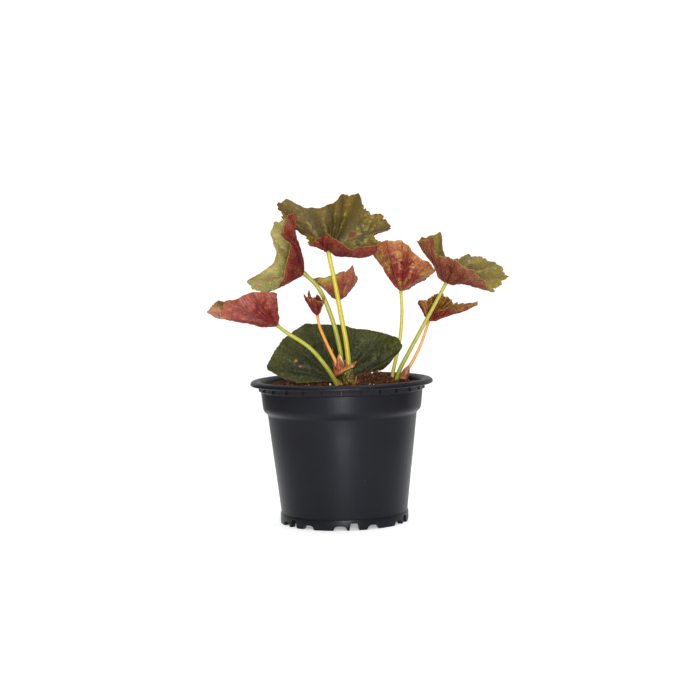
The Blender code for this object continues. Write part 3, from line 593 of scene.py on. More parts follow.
def betweenRibs(leaf, s):  # 0 on a main vein and 1 halfway to the next
    ribs = [k for k, spoke in enumerate(leaf["spokes"]) if spoke["rib"]]
    bounds = np.array([-1] + ribs + [len(leaf["spokes"])], dtype=float)
    low = np.searchsorted(bounds, s, side="right") - 1
    low = np.clip(low, 0, len(bounds) - 2)
    share = (s - bounds[low]) / (bounds[low + 1] - bounds[low])
    return np.sin(np.pi * share) ** 2


def toothed(leaf, s):  # how far the edge reaches, with fine uneven teeth
    tips = splineRow([spoke["tip"] for spoke in leaf["spokes"]], s)
    steps = np.linalg.norm(np.diff(tips, axis=0), axis=1) / mm
    along = np.concatenate([[0], np.cumsum(steps)])
    count = max(4, round(along[-1] / leaf["teeth"]["apart"]))
    phase = along / along[-1] * count
    rng = random.Random(len(leaf["spokes"]) * 17)
    phase = phase + 0.3 * np.sin(phase * 1.7) + 0.2 * np.sin(phase * 0.61 + 1)
    depths = np.array([0.15 + 1.35 * rng.random() ** 1.4 for _ in range(count + 4)])
    skew = (phase % 1) ** 1.3
    notch = np.clip(1 - np.abs(skew - 0.42) / 0.42, 0, 1) ** 0.9
    length = np.linalg.norm(tips - np.array(leaf["base"]), axis=1) / mm
    fine = notch * depths[phase.astype(int)] * leaf["teeth"]["deep"] / length
    point = np.zeros(len(s))
    for k, spoke in enumerate(leaf["spokes"]):
        if spoke["rib"]:
            point = np.maximum(point, np.exp(-np.abs(s - k) / 0.1))
    lively = np.ones(len(s))
    for start, end in leaf.get("calm", []):
        lively *= np.clip(np.maximum(start - s, s - end) * 2.5, 0.12, 1)
    coarse = blade["lobe"] * betweenRibs(leaf, s) + blade["tooth"] * np.sin(np.pi * s) ** 2
    coarse *= leaf.get("scallop", 1.0)
    return 1 - coarse - (fine - point * leaf.get("cusp", 0) / length) * lively


def sheetPoint(leaf, s, t):  # rows of t by columns of s on the smooth middle sheet
    middle = splineRow([spoke["middle"] for spoke in leaf["spokes"]], s)
    tip = splineRow([spoke["tip"] for spoke in leaf["spokes"]], s)
    base = np.array(leaf["base"])
    bend = middle * 2 - (base + tip) / 2
    t = t[..., None]
    return base * (1 - t) ** 2 + bend * (2 * t * (1 - t)) + tip * t * t


def sheetNormal(leaf, s, t):
    last = len(leaf["spokes"]) - 1
    step = 0.05
    t = np.maximum(t, 0.12)
    along = sheetPoint(leaf, s, t + step) - sheetPoint(leaf, s, t - step)
    across = sheetPoint(leaf, np.minimum(s + step, last), t) - sheetPoint(leaf, np.maximum(s - step, 0), t)
    return unit(np.cross(along, across))


def veinPlaces(leaf, main):  # places along the main veins or their forks, each with its width in mm
    ribs = [k for k, spoke in enumerate(leaf["spokes"]) if spoke["rib"]]
    runs = []
    if main:
        for k in ribs:
            runs.append({"from": k, "to": k, "start": 0.02, "wide": 1.2})
    else:
        for a, b in zip(ribs, ribs[1:]):
            gap = b - a
            for start, spread, wide in ((0.16, 0.47, 0.6), (0.38, 0.33, 0.5), (0.6, 0.17, 0.4)):
                runs.append({"from": a, "to": a + gap * spread, "start": start, "wide": wide})
                back = b - gap * (spread - 0.04)
                runs.append({"from": b, "to": back, "start": start + 0.07, "wide": wide})
    places = []
    for run in runs:
        u = np.linspace(0, 1, 70)
        s = run["from"] + (run["to"] - run["from"]) * u**0.85
        t = run["start"] + (1 - run["start"]) * u
        points = sheetPoint(leaf, s, t)
        for point, share in zip(points, t):
            places.append((point, run["wide"] * (1.15 - 0.7 * share)))
    return places


def nearVeins(leaf, flat, main):  # 1 on a vein, and the distance to the nearest in mm
    veins = veinPlaces(leaf, main)
    tree = kdtree.KDTree(len(veins))
    for k, (point, wide) in enumerate(veins):
        tree.insert(point, k)
    tree.balance()
    mask, away = np.zeros(len(flat)), np.zeros(len(flat))
    for k, point in enumerate(flat):
        _, nearest, distance = tree.find(point)
        width = veins[nearest][1] * blade["vein"] * mm
        mask[k] = math.exp(-((distance / width) ** 2))
        away[k] = distance / mm
    return mask, away


def noiseRow(s, leaf):  # waves along the margin
    seed = len(leaf["spokes"]) * 3.7
    return np.array([noise.noise(Vector((x * 1.1, seed, 0))) for x in s])[None, :]


def crinkles(leaf, flat):  # the small cells, 0 at their edges and 1 in them, and the broad lumps
    cell, swell = np.zeros(len(flat)), np.zeros(len(flat))
    for k, point in enumerate(flat):
        spot = Vector(point) / mm
        warp = noise.noise_vector(spot * 0.25) * 1.1
        first, second = noise.voronoi((spot + warp) / leaf.get("cell", blade["cell"]))[0][:2]
        cell[k] = min(1.0, (second - first) * 1.9)
        swell[k] = noise.noise(spot * 0.13) + 0.45 * noise.noise(spot * 0.34)
    return cell, swell


def bladeFaces(rows, columns):  # the upper face, the lower one and the edge round them, and their finishes
    half = rows * columns + 1
    ids = np.arange(rows * columns).reshape(rows, columns) + 1
    low, high = ids[:-1, :], ids[1:, :]
    quads = np.stack([low[:, :-1], high[:, :-1], high[:, 1:], low[:, 1:]], axis=-1).reshape(-1, 4)
    fan = np.stack([np.zeros(columns - 1, dtype=int), ids[0, :-1], ids[0, 1:]], axis=-1)
    faces = quads.tolist() + fan.tolist()
    faces += (quads[:, ::-1] + half).tolist() + (fan[:, ::-1] + half).tolist()
    picks = [0] * (len(quads) + len(fan)) + [1] * (len(quads) + len(fan))
    edge = [0] + ids[:, 0].tolist() + ids[-1, 1:].tolist() + ids[::-1, -1].tolist()[1:]
    for a, b in zip(edge, edge[1:] + edge[:1]):
        faces.append((a, a + half, b + half, b))
        picks.append(0)
    return faces, picks


def markDabs(obj, leaf, points):
    for side in ("upper", "under"):
        dab = np.zeros(len(points))
        for spot in leaf["dabs"].get(side, []):
            spread = 1 + points[:, 1] / mm / eye["away"]
            x = (points[:, 0] / mm - eye["x"]) / spread + eye["x"]
            z = (points[:, 2] / mm - eye["z"]) / spread + eye["z"]
            dab += np.exp(-(((x - spot["x"]) ** 2 + (z - spot["z"]) ** 2) / spot["size"] ** 2))
        mark(obj, "dab_" + side, np.clip(dab, 0, 1))


def makeBlade(name, finishes):
    leaf = leaves[name]
    gaps = len(leaf["spokes"]) - 1
    columns, rows = gaps * leaf["columns"] + 1, blade["rows"]
    s = np.linspace(0, gaps, columns)
    share = np.linspace(0, 1, rows + 1)[1:] ** 0.9
    reach = share[:, None] * toothed(leaf, s)[None, :] ** share[:, None]
    sheet = sheetPoint(leaf, s, reach)
    normal = sheetNormal(leaf, s, reach)
    quilt = leaf["quilt"] * betweenRibs(leaf, s)[None, :] * np.sin(np.pi * share * 0.85)[:, None]

    flat = sheet.reshape(-1, 3)
    rib, ribAway = nearVeins(leaf, flat, True)
    fork, forkAway = nearVeins(leaf, flat, False)
    cell, swell = crinkles(leaf, flat)
    hump = (1 - np.exp(-((ribAway / 2.4) ** 2))) * (0.6 + 0.4 * (1 - np.exp(-((forkAway / 1.3) ** 2))))
    rise = (hump * (0.3 + 0.7 * cell**0.8)).reshape(rows, columns)
    rib, fork, swell = (field.reshape(rows, columns) for field in (rib, fork, swell))
    fade = np.minimum(1, (1 - share) * 9)[:, None] * np.minimum(1, share * 4)[:, None]
    pleat = leaf.get("pleat", {"each": 1, "deep": 0})
    wave = np.cos(2 * np.pi * s * pleat["each"])[None, :] * (share**1.1)[:, None]
    fold = pleat["deep"] * wave
    # on pleated leaves the bump field follows the pleats, so the finish paints their crests lighter and
    # their troughs darker: a painted highlight and shade
    if pleat["deep"]:
        rise = 0.5 + 0.5 * wave
    ruffle = noiseRow(s, leaf) * (share**5)[:, None] * leaf["ruffle"]
    lift = quilt + fold + ruffle + leaf["swell"] * swell * np.minimum(1, share * 2)[:, None]
    lift = lift + leaf["pucker"] * (rise - 0.5) * fade - (0.35 * rib + 0.1 * fork) * fade
    upper = sheet + normal * (lift - 0.1)[..., None] * mm
    inwards = np.minimum(1, (1 - share) * 7)[:, None]
    thick = blade["edgeThick"] + (blade["thick"] - blade["edgeThick"]) * inwards
    thick = thick + (0.75 * rib + 0.2 * fork) * fade
    lower = upper - normal * thick[..., None] * mm

    centre = np.array(leaf["base"]) - normal[0].mean(axis=0) * 0.1 * mm
    under = centre - unit(normal[0].mean(axis=0)) * blade["thick"] * mm
    points = np.concatenate([[centre], upper.reshape(-1, 3), [under], lower.reshape(-1, 3)])
    faces, picks = bladeFaces(rows, columns)
    obj = makePiece("blade_" + name[5:], points, faces, finishes, picks)

    edgeOut = np.linalg.norm(sheet - sheet[-1][None, :, :], axis=-1) / mm
    sideways = np.minimum(s, gaps - s)[None, :] * 4.0 * share[:, None] + 9.0 * leaf.get("closed", False)
    rim = np.exp(-((np.minimum(edgeOut, sideways) / 0.55) ** 2))
    # painted shade along the valleys of the main veins: darkest on the veins, where the quilted blade lies
    # lowest, and gone halfway between them
    furrow_shade = leaf.get("furrow_shade", 0.25) * (1 - betweenRibs(leaf, s)[None, :]) ** 2
    furrow_shade = furrow_shade * np.minimum(1, share * 2.5)[:, None]
    # bump carries the raised cells or pleat crests to the finish, which paints a highlight on them and
    # shade in the hollows
    fields = {"rib": rib, "fork": fork, "bump": rise, "furrow_shade": furrow_shade, "rim": rim}
    fields["reach"] = share[:, None] + 0 * rib
    for field, values in fields.items():
        start = 1.0 if field == "rib" else 0.0
        both = np.concatenate([[start], values.reshape(-1), [start], values.reshape(-1)])
        mark(obj, field, both)
    markDabs(obj, leaf, points)
    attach(obj, "root")
    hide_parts(name)
    return obj


# Finishes of the leaves, in linear colours: light is partly the pale silvery patches and partly a painted
# highlight on the raised cells and pleat crests, and deep partly the leaf's dark tone and partly painted
# shade in the hollows, troughs and vein valleys. crest is how much lighter the raised middles of the cells
# and the pleat crests are painted than the hollows, and rasp how strong the fine dark net and grain are.
bladeLooks = {
    "ember": {
        "deep": (0.050, 0.006, 0.003),
        "main": (0.09, 0.012, 0.008),
        "light": (0.28, 0.08, 0.035),
        "fleck": (0.17, 0.04, 0.015),
        "vein": (0.10, 0.010, 0.006),
        "heart": (0.10, 0.010, 0.007),
        "outer": (0.17, 0.05, 0.015),
        "rim": (0.28, 0.09, 0.02),
        "dab": (0.2, 0.1, 0.03),
        "rough": 0.42,
    },
    "olive": {
        "deep": (0.050, 0.036, 0.003),
        "main": (0.155, 0.118, 0.010),
        "light": (0.36, 0.32, 0.085),
        "fleck": (0.19, 0.10, 0.010),
        "vein": (0.075, 0.042, 0.004),
        "heart": (0.13, 0.105, 0.013),
        "outer": (0.17, 0.095, 0.005),
        "rim": (0.30, 0.11, 0.012),
        "dab": (0.12, 0.014, 0.008),
        "rough": 0.4,
    },
    "fresh": {
        "deep": (0.10, 0.075, 0.012),
        "main": (0.20, 0.175, 0.034),
        "light": (0.36, 0.35, 0.13),
        "fleck": (0.22, 0.15, 0.03),
        "vein": (0.14, 0.10, 0.014),
        "heart": (0.16, 0.15, 0.04),
        "outer": (0.22, 0.15, 0.022),
        "rim": (0.38, 0.15, 0.02),
        "dab": (0.40, 0.16, 0.13),
        "rough": 0.42,
    },
    "sage": {
        "deep": (0.20, 0.18, 0.05),
        "main": (0.33, 0.285, 0.10),
        "light": (0.48, 0.45, 0.20),
        "fleck": (0.36, 0.28, 0.10),
        "vein": (0.25, 0.20, 0.06),
        "heart": (0.26, 0.20, 0.08),
        "outer": (0.34, 0.30, 0.09),
        "rim": (0.30, 0.27, 0.03),
        "dab": (0.42, 0.12, 0.11),
        "rough": 0.45,
    },
    "deep green": {
        "deep": (0.014, 0.017, 0.004),
        "main": (0.046, 0.050, 0.013),
        "light": (0.11, 0.12, 0.045),
        "fleck": (0.036, 0.040, 0.010),
        "vein": (0.050, 0.056, 0.020),
        "heart": (0.040, 0.046, 0.016),
        "outer": (0.060, 0.062, 0.003),
        "rim": (0.085, 0.080, 0.008),
        "dab": (0.42, 0.20, 0.07),
        "rough": 0.46,
    },
    "straw": {
        "deep": (0.30, 0.20, 0.03),
        "main": (0.62, 0.46, 0.08),
        "light": (0.75, 0.63, 0.22),
        "fleck": (0.45, 0.26, 0.05),
        "vein": (0.42, 0.22, 0.05),
        "heart": (0.40, 0.26, 0.05),
        "outer": (0.50, 0.38, 0.06),
        "rim": (0.10, 0.11, 0.015),
        "dab": (0.05, 0.07, 0.012),
        "rough": 0.45,
    },
    "amber": {
        "deep": (0.060, 0.012, 0.003),
        "main": (0.21, 0.09, 0.012),
        "light": (0.45, 0.30, 0.08),
        "crest": 1.3,
        "fleck": (0.30, 0.10, 0.015),
        "vein": (0.10, 0.015, 0.006),
        "heart": (0.12, 0.02, 0.008),
        "outer": (0.26, 0.14, 0.018),
        "rim": (0.30, 0.10, 0.015),
        "dab": (0.2, 0.1, 0.03),
        "rough": 0.42,
    },
    "wine": {
        "deep": (0.075, 0.006, 0.005),
        "main": (0.155, 0.018, 0.013),
        "light": (0.33, 0.085, 0.055),
        "fleck": (0.22, 0.05, 0.025),
        "vein": (0.12, 0.014, 0.008),
        "heart": (0.12, 0.013, 0.008),
        "outer": (0.20, 0.035, 0.018),
        "rim": (0.20, 0.12, 0.012),
        "dab": (0.3, 0.1, 0.05),
        "rough": 0.42,
    },
    "rose": {
        "deep": (0.10, 0.008, 0.007),
        "main": (0.175, 0.021, 0.019),
        "light": (0.46, 0.14, 0.12),
        "crest": 0.6,
        "fleck": (0.25, 0.065, 0.04),
        "vein": (0.15, 0.018, 0.013),
        "heart": (0.14, 0.013, 0.012),
        "outer": (0.27, 0.07, 0.04),
        "rim": (0.24, 0.12, 0.02),
        "dab": (0.34, 0.13, 0.07),
        "rasp": 0.35,
        "rough": 0.33,
    },
    "dark wine": {
        "deep": (0.045, 0.003, 0.002),
        "main": (0.088, 0.006, 0.005),
        "light": (0.21, 0.03, 0.022),
        "fleck": (0.15, 0.03, 0.014),
        "vein": (0.18, 0.014, 0.009),
        "heart": (0.13, 0.008, 0.006),
        "outer": (0.16, 0.06, 0.012),
        "rim": (0.30, 0.12, 0.015),
        "dab": (0.2, 0.1, 0.03),
        "rough": 0.4,
    },
    "brown": {
        "deep": (0.15, 0.035, 0.022),
        "main": (0.27, 0.075, 0.045),
        "light": (0.44, 0.20, 0.12),
        "fleck": (0.33, 0.14, 0.06),
        "vein": (0.18, 0.045, 0.025),
        "heart": (0.22, 0.05, 0.035),
        "outer": (0.34, 0.12, 0.05),
        "rim": (0.36, 0.15, 0.03),
        "dab": (0.2, 0.1, 0.03),
        "rough": 0.45,
    },
    "mottled": {
        "deep": (0.12, 0.010, 0.008),
        "main": (0.37, 0.105, 0.048),
        "light": (0.56, 0.31, 0.10),
        "fleck": (0.36, 0.28, 0.05),
        "vein": (0.20, 0.022, 0.014),
        "heart": (0.17, 0.018, 0.014),
        "outer": (0.42, 0.16, 0.05),
        "rim": (0.30, 0.19, 0.02),
        "dab": (0.03, 0.012, 0.006),
        "rough": 0.42,
    },
    "copper": {
        "deep": (0.08, 0.014, 0.007),
        "main": (0.165, 0.038, 0.019),
        "light": (0.32, 0.12, 0.065),
        "fleck": (0.22, 0.09, 0.03),
        "vein": (0.14, 0.025, 0.013),
        "heart": (0.14, 0.03, 0.02),
        "outer": (0.20, 0.07, 0.025),
        "rim": (0.28, 0.15, 0.02),
        "dab": (0.2, 0.1, 0.03),
        "rough": 0.42,
    },
}
bladeLooks["russet"] = {**bladeLooks["olive"], "dab": (0.36, 0.16, 0.09)}
bladeGloss = {"Specular IOR Level": 0.2, "Subsurface Weight": 0.08, "Subsurface Scale": 0.0005}


def bladeFinish(name, side):
    look = bladeLooks[name]
    finish = Finish("blade " + name + " " + side, bladeGloss)
    puff = finish.marked("bump")
    rib = finish.marked("rib")
    drift = finish.cloud(11, 3)
    blotch = finish.cloud(3.4, 4, bend=0.6)
    grain = finish.cloud(0.9, 4)
    net = finish.cells(2.0, "DISTANCE_TO_EDGE", finish.warped(1.4, 0.9))
    # painted highlight and shade of the relief: raised cell middles and pleat crests lighter, hollows and
    # troughs darker
    tone = finish.between(puff * look.get("crest", 0.35) + blotch * 0.7 + drift * 0.6, 0.6, 1.05)
    colour = finish.blend(tone, look["deep"], look["main"])
    reach = finish.marked("reach")
    colour = finish.blend(finish.between(reach + blotch * 0.4, 0.75, 1.15) * 0.75, colour, look["outer"])
    colour = finish.blend(finish.between(reach + blotch * 0.4, 0.62, 0.22) * 0.7, colour, look["heart"])
    fleck = finish.between(blotch * 0.5 + drift * 0.8 + grain * 0.35, 0.76, 1.04)
    colour = finish.blend(fleck * 0.8, colour, look["fleck"])
    # partly the leaf's pale silvery patches, partly a painted highlight on the raised cells and pleat
    # crests
    hump_highlight = finish.between(puff * 0.45 + blotch * 0.6 + grain * 0.8, 0.86, 1.28)
    colour = finish.blend(hump_highlight * 0.62, colour, look["light"])
    rasp = look.get("rasp", 1.0)
    colour = finish.blend(finish.between(net, 0.11, 0.02) * (0.4 * rasp), colour, look["deep"])
    # painted shade in the valleys along the main veins, at 0.35 of its strength on the underside
    furrow_shade = finish.marked("furrow_shade") * finish.between(blotch + drift, 0.6, 1.1)
    furrow_shade = furrow_shade * (1.0 if side == "upper" else 0.35)
    colour = finish.blend(furrow_shade, colour, look["deep"])
    colour = finish.blend(rib * 0.8 + finish.marked("fork") * 0.22, colour, look["vein"])
    speck = finish.between(finish.cells(0.8), 0.1, 0.55)
    colour = finish.blend(speck * (0.2 * rasp), colour, look["deep"])
    margin = finish.between(finish.marked("rim") + blotch * 0.5, 0.55, 1.15)
    colour = finish.blend(margin * 0.85, colour, look["rim"])
    patch = finish.between(finish.marked("dab_" + side) * (blotch * 0.7 + grain * 1.3), 0.36, 1.02)
    colour = finish.blend(patch * 0.9, colour, look["dab"])
    finish.set("Base Color", colour)
    finish.set("Roughness", look["rough"] + blotch * 0.12 - puff * 0.1)
    fine = finish.bump(grain, 0.16 * rasp, finish.bump(blotch, 0.4))
    finish.set("Normal", finish.bump(finish.between(net, 0, 0.3), 0.18 * rasp, fine))
    return finish


# The camera, the floor and the light


def makeStage():
    camera = bpy.data.cameras.new("camera")
    camera.lens = shot["lens"]
    camera.sensor_width = 36
    camera.clip_start = 0.01
    holder = bpy.data.objects.new("camera", camera)
    holder.location = at(eye["x"], -eye["away"], eye["z"])
    turn = Euler((math.radians(90 - shot["pitch"]), 0, 0)).to_matrix()
    roll = Euler((0, 0, math.radians(-shot["roll"]))).to_matrix()
    holder.rotation_euler = (turn @ roll).to_euler()
    bpy.context.collection.objects.link(holder)
    bpy.context.scene.camera = holder

    world = bpy.data.worlds.new("white studio")
    world.use_nodes = True
    tree = world.node_tree
    sky = tree.nodes["Background"]
    sky.inputs["Color"].default_value = studio["sky"]
    sky.inputs["Strength"].default_value = studio["room"]
    white = tree.nodes.new("ShaderNodeBackground")
    white.inputs["Color"].default_value = (1, 1, 1, 1)
    white.inputs["Strength"].default_value = studio["backdrop"]
    path = tree.nodes.new("ShaderNodeLightPath")
    mix = tree.nodes.new("ShaderNodeMixShader")
    tree.links.new(path.outputs["Is Camera Ray"], mix.inputs[0])
    tree.links.new(sky.outputs[0], mix.inputs[1])
    tree.links.new(white.outputs[0], mix.inputs[2])
    tree.links.new(mix.outputs[0], tree.nodes["World Output"].inputs["Surface"])
    bpy.context.scene.world = world
    bpy.context.scene.view_settings.view_transform = "Standard"

    size = studio["floor"]
    corners = [(-size, -size, 0), (size, -size, 0), (size, size, 0), (-size, size, 0)]
    matt = {"Roughness": 0.9, "Emission Color": (1, 1, 1, 1), "Emission Strength": 0.3}
    sheet = Finish("white paper floor", matt)
    sheet.set("Base Color", sheet.blend(sheet.cloud(60, 2), (0.93, 0.94, 0.95), (0.95, 0.96, 0.97)))
    floor = makePiece("floor", corners, [(0, 1, 2, 3)], [sheet])

    for name, lamp in studio["lamps"].items():
        data = bpy.data.lights.new(name, lamp["kind"])
        data.energy = lamp["power"]
        if lamp["kind"] == "AREA":
            data.shape = "RECTANGLE"
            data.size, data.size_y = lamp["size"]
        else:
            data.angle = math.radians(lamp["soft"])
        light = bpy.data.objects.new(name, data)
        light.location = lamp["place"]
        beam = Vector(lamp["aim"]) - Vector(lamp["place"])
        light.rotation_euler = beam.to_track_quat("-Z", "Y").to_euler()
        bpy.context.collection.objects.link(light)


makeStage()
print("stage set")

finishes = {}
for name, leaf in leaves.items():
    for side in ("upper", "under"):
        key = (leaf[side], side)
        if key not in finishes:
            finishes[key] = bladeFinish(*key)
    made = makeBlade(name, [finishes[(leaf["upper"], "upper")], finishes[(leaf["under"], "under")]])
    print("leaf", name, len(made.data.polygons), "faces")


# Stalks, from the foot in the sheath or the soil to the underside of the blade
stalks = {
    "stalk_top": {
        "leaf": "leaf_top",
        "route": [
            seen(4.4, -5.4, 100.4),
            seen(4.7, -5.9, 106),
            seen(3.5, -6.6, 118.4),
            seen(1.4, -7.6, 131),
            seen(-2.1, -9.8, 152.3),
            seen(-5, -12.6, 168),
        ],
        "radii": (1.8, 1.35),
        "finish": "lime",
    },
    "stalk_upper_left": {
        "leaf": "leaf_upper_left",
        "route": [
            seen(0.2, -2.3, 100.2),
            seen(-0.2, -2.5, 110),
            seen(-1.9, -2.7, 120),
            seen(-4.3, -3, 130),
            seen(-9.4, -3.4, 145),
            seen(-14.9, -3.4, 155.4),
        ],
        "radii": (1.6, 1.35),
        "finish": "green",
    },
    "stalk_bud_left": {
        "leaf": "leaf_bud_left",
        "route": [
            seen(-2.2, -6.6, 100.2),
            seen(-3.6, -7.2, 105),
            seen(-7.3, -8.8, 113),
            seen(-10.5, -10.6, 120.3),
            seen(-13.6, -12.8, 128.5),
        ],
        "radii": (1.25, 0.9),
        "finish": "orange",
    },
    "stalk_back": {
        "leaf": "leaf_back",
        "route": [
            seen(3.6, -1.3, 100.4),
            seen(4.2, -0.8, 108),
            seen(3.0, 4, 122),
            seen(0.8, 7.2, 136),
        ],
        "radii": (1.15, 0.85),
        "finish": "lime",
    },
    "stalk_lower_left": {
        "leaf": "leaf_lower_left",
        "route": [
            seen(-0.6, -12, 80),
            seen(-3.5, -13, 90.6),
            seen(-10.7, -15, 103),
            seen(-21.1, -16.4, 115.2),
            seen(-35.7, -17, 125.3),
        ],
        "radii": (1.7, 1.1),
        "finish": "green",
    },
    "stalk_low": {
        "leaf": "leaf_low",
        "route": [seen(-1, 2.5, 78), seen(-1.2, 3.6, 85)],
        "radii": (1.7, 1.5),
        "finish": "green",
    },
    "stalk_mid_right": {
        "leaf": "leaf_mid_right",
        "route": [
            seen(31.6, 12, 80),
            seen(33.9, 14.5, 97),
            seen(37.5, 16.5, 112),
            seen(39.8, 17.5, 125),
            seen(40.7, 17.5, 139),
        ],
        "radii": (1.35, 0.95),
        "finish": "lime",
    },
    "stalk_upper_right": {
        "leaf": "leaf_upper_right",
        "route": [
            seen(32.8, 2.5, 80),
            seen(37.6, 2, 96.9),
            seen(44.5, 1, 110),
            seen(54.8, -1, 128.1),
            seen(65, -3.6, 146.2),
        ],
        "radii": (1.5, 1.1),
        "finish": "green",
    },
    "stalk_young_right": {
        "leaf": "leaf_young_right",
        "route": [
            seen(37, 5.6, 80),
            seen(41.6, 6, 95.1),
            seen(47.4, 6.4, 105),
            seen(52.6, 7, 115.2),
        ],
        "radii": (1.2, 0.85),
        "finish": "orange",
    },
}
stalkLooks = {
    "lime": {"foot": (0.38, 0.31, 0.02), "top": (0.50, 0.42, 0.035), "streak": (0.27, 0.23, 0.02)},
    "green": {"foot": (0.22, 0.24, 0.02), "top": (0.34, 0.33, 0.035), "streak": (0.16, 0.18, 0.016)},
    "orange": {"foot": (0.68, 0.36, 0.06), "top": (0.64, 0.28, 0.05), "streak": (0.46, 0.14, 0.02)},
}


def stalkFinish(name):
    look = stalkLooks[name]
    gloss = {"Specular IOR Level": 0.35, "Subsurface Weight": 0.2, "Subsurface Scale": 0.001}
    finish = Finish("stalk " + name, gloss)
    along = finish.marked("along")
    blotch = finish.cloud(3.5, 3)
    colour = finish.blend(finish.between(along + blotch * 0.4, 0.1, 0.9), look["foot"], look["top"])
    ridge = finish.marked("ridge")
    streak = finish.between(ridge * 0.6 + blotch * 0.7, 0.55, 0.95)
    colour = finish.blend(streak * 0.5, colour, look["streak"])
    ends = finish.between(along, 0.93, 1.0)
    colour = finish.blend(ends * 0.6, colour, look["streak"])
    finish.set("Base Color", colour)
    finish.set("Roughness", 0.34 + blotch * 0.14)
    finish.set("Normal", finish.bump(finish.cells(0.5), 0.03, finish.bump(finish.cloud(1.6, 4), 0.12)))
    return finish


def tubeNet(path, radii, sides, wobble):  # a closed tube with slight ridges along it
    across = Vector(path[1] - path[0]).orthogonal().normalized()
    points, along, ridge = [], [], []
    for k, centre in enumerate(path):
        ahead = Vector(path[min(k + 1, len(path) - 1)] - path[max(k - 1, 0)]).normalized()
        across = (across - ahead * across.dot(ahead)).normalized()
        sideways = ahead.cross(across)
        for j in range(sides):
            turn = 2 * math.pi * j / sides
            flute = math.cos(turn * 7) * 0.5 + 0.5
            lump = noise.noise(Vector((math.cos(turn), math.sin(turn), k * 0.16)) * 1.4)
            radius = radii[k] * (1 + wobble * (lump - 0.3 * flute))
            points.append(Vector(centre) + (across * math.cos(turn) + sideways * math.sin(turn)) * radius)
            along.append(k / (len(path) - 1))
            ridge.append(flute)
    return points, tubeFaces(len(path), sides), along, ridge


def stalkRoute(stalk):  # up to the blade that it carries
    return stalk["route"] + [leaves[stalk["leaf"]]["base"]]


def makeStalk(name, finish):
    stalk = stalks[name]
    route = stalkRoute(stalk)
    steps = 24 * (len(route) - 1)
    path = splineRow(route, np.linspace(0, len(route) - 1, steps + 1))
    foot, top = stalk["radii"]
    share = np.linspace(0, 1, steps + 1)
    flare = 0.25 * np.exp(-(((1 - share) / 0.03) ** 2))  # widens where it meets the blade
    radii = (foot + (top - foot) * share) * (1 + flare) * mm
    points, faces, along, ridge = tubeNet(path, radii, sides=22, wobble=0.05)
    obj = makePiece("fine_" + name, points, faces, [finish])
    mark(obj, "along", along)
    mark(obj, "ridge", ridge)
    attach(obj, "root")
    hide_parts(name)
    "stalk_orange" if stalk["finish"] == "orange" else "stalk_green"


stalkFinishes = {name: stalkFinish(name) for name in stalkLooks}
for name, stalk in stalks.items():
    makeStalk(name, stalkFinishes[stalk["finish"]])
print("stalks", len(stalks))


# The knobbly stem and the papery sheath on it
stem = {
    "route": [at(5, -5, 70), at(5, -5, 82), at(4.7, -5, 91), at(4.2, -4.8, 100.5)],
    "radius": 3.7,
    "scars": {"heights": (84, 89.8, 92.4, 94.9), "half": 0.35, "out": 0.28},
    "steps": 150,
    "sides": 64,
}


def makeStem():
    finish = Finish("green stem skin", {"IOR": 1.42})
    patch = finish.cloud(2.6, 4)
    colour = finish.blend(finish.between(patch, 0.35, 0.7), (0.05, 0.045, 0.003), (0.17, 0.14, 0.008))
    ring = finish.marked("ring")
    colour = finish.blend(ring * 0.6, colour, (0.10, 0.045, 0.015))
    speck = 1 - finish.between(finish.cells(1.3), 0.16, 0.3)
    colour = finish.blend(speck * 0.8, colour, (0.42, 0.36, 0.14))
    finish.set("Base Color", colour)
    finish.set("Roughness", 0.4 + patch * 0.2)
    finish.set("Normal", finish.bump(patch, 0.5, finish.bump(finish.cells(0.7), 0.08)))

    steps, sides, scars = stem["steps"], stem["sides"], stem["scars"]
    path = splineRow(stem["route"], np.linspace(0, len(stem["route"]) - 1, steps + 1))
    points, rings = [], []
    for k, centre in enumerate(path):
        for j in range(sides):
            turn = 2 * math.pi * j / sides
            way = outward(turn)
            spot = way * 2.2 + Vector((0, 0, centre[2] / mm * 0.42))
            lump = noise.noise(spot) * 0.9 + noise.noise(spot * 2.7) * 0.35
            height = centre[2] / mm + noise.noise(way * 1.5) * 0.8
            scar = sum(math.exp(-(((height - level) / scars["half"]) ** 2)) for level in scars["heights"])
            points.append(Vector(centre) + way * (stem["radius"] + lump + scar * scars["out"]) * mm)
            rings.append(min(1, scar))
    obj = makePiece("fine_stem", points, tubeFaces(steps + 1, sides), [finish])
    mark(obj, "ring", rings)
    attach(obj, "root")
    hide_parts("stem")


makeStem()
print("stem")

sheath = {
    "middle": at(1.6, -4.4, 98.2),
    "footRadius": 4.5,
    "radius": 6.2,
    "low": 3.4,
    "slant": 2.7,
    "lean": -0.06,
    "wall": 0.35,
    "sides": 240,
    "levels": 34,
    "collar": {"faces": 305, "half": 100, "out": 1.1, "above": 1.6},
    "white": {"faces": 262, "half": 16},
    "scales": [
        {"faces": 245, "half": 32, "height": 14.2, "flare": -1.2, "blunt": 0.35},
        {"faces": 200, "half": 9, "height": 20, "flare": 0.2, "blunt": 0.9},
        {"faces": 182, "half": 7, "height": 14.0, "flare": 0.6, "blunt": 1.0},
        {"faces": 342, "half": 22, "height": 4.8, "flare": 3.2, "blunt": 0.6},
        {"faces": 292, "half": 34, "height": 4.8, "flare": 1.0, "blunt": 0.5},
        {"faces": 75, "half": 40, "height": 7.5, "flare": 0.6, "blunt": 0.7},
    ],
}


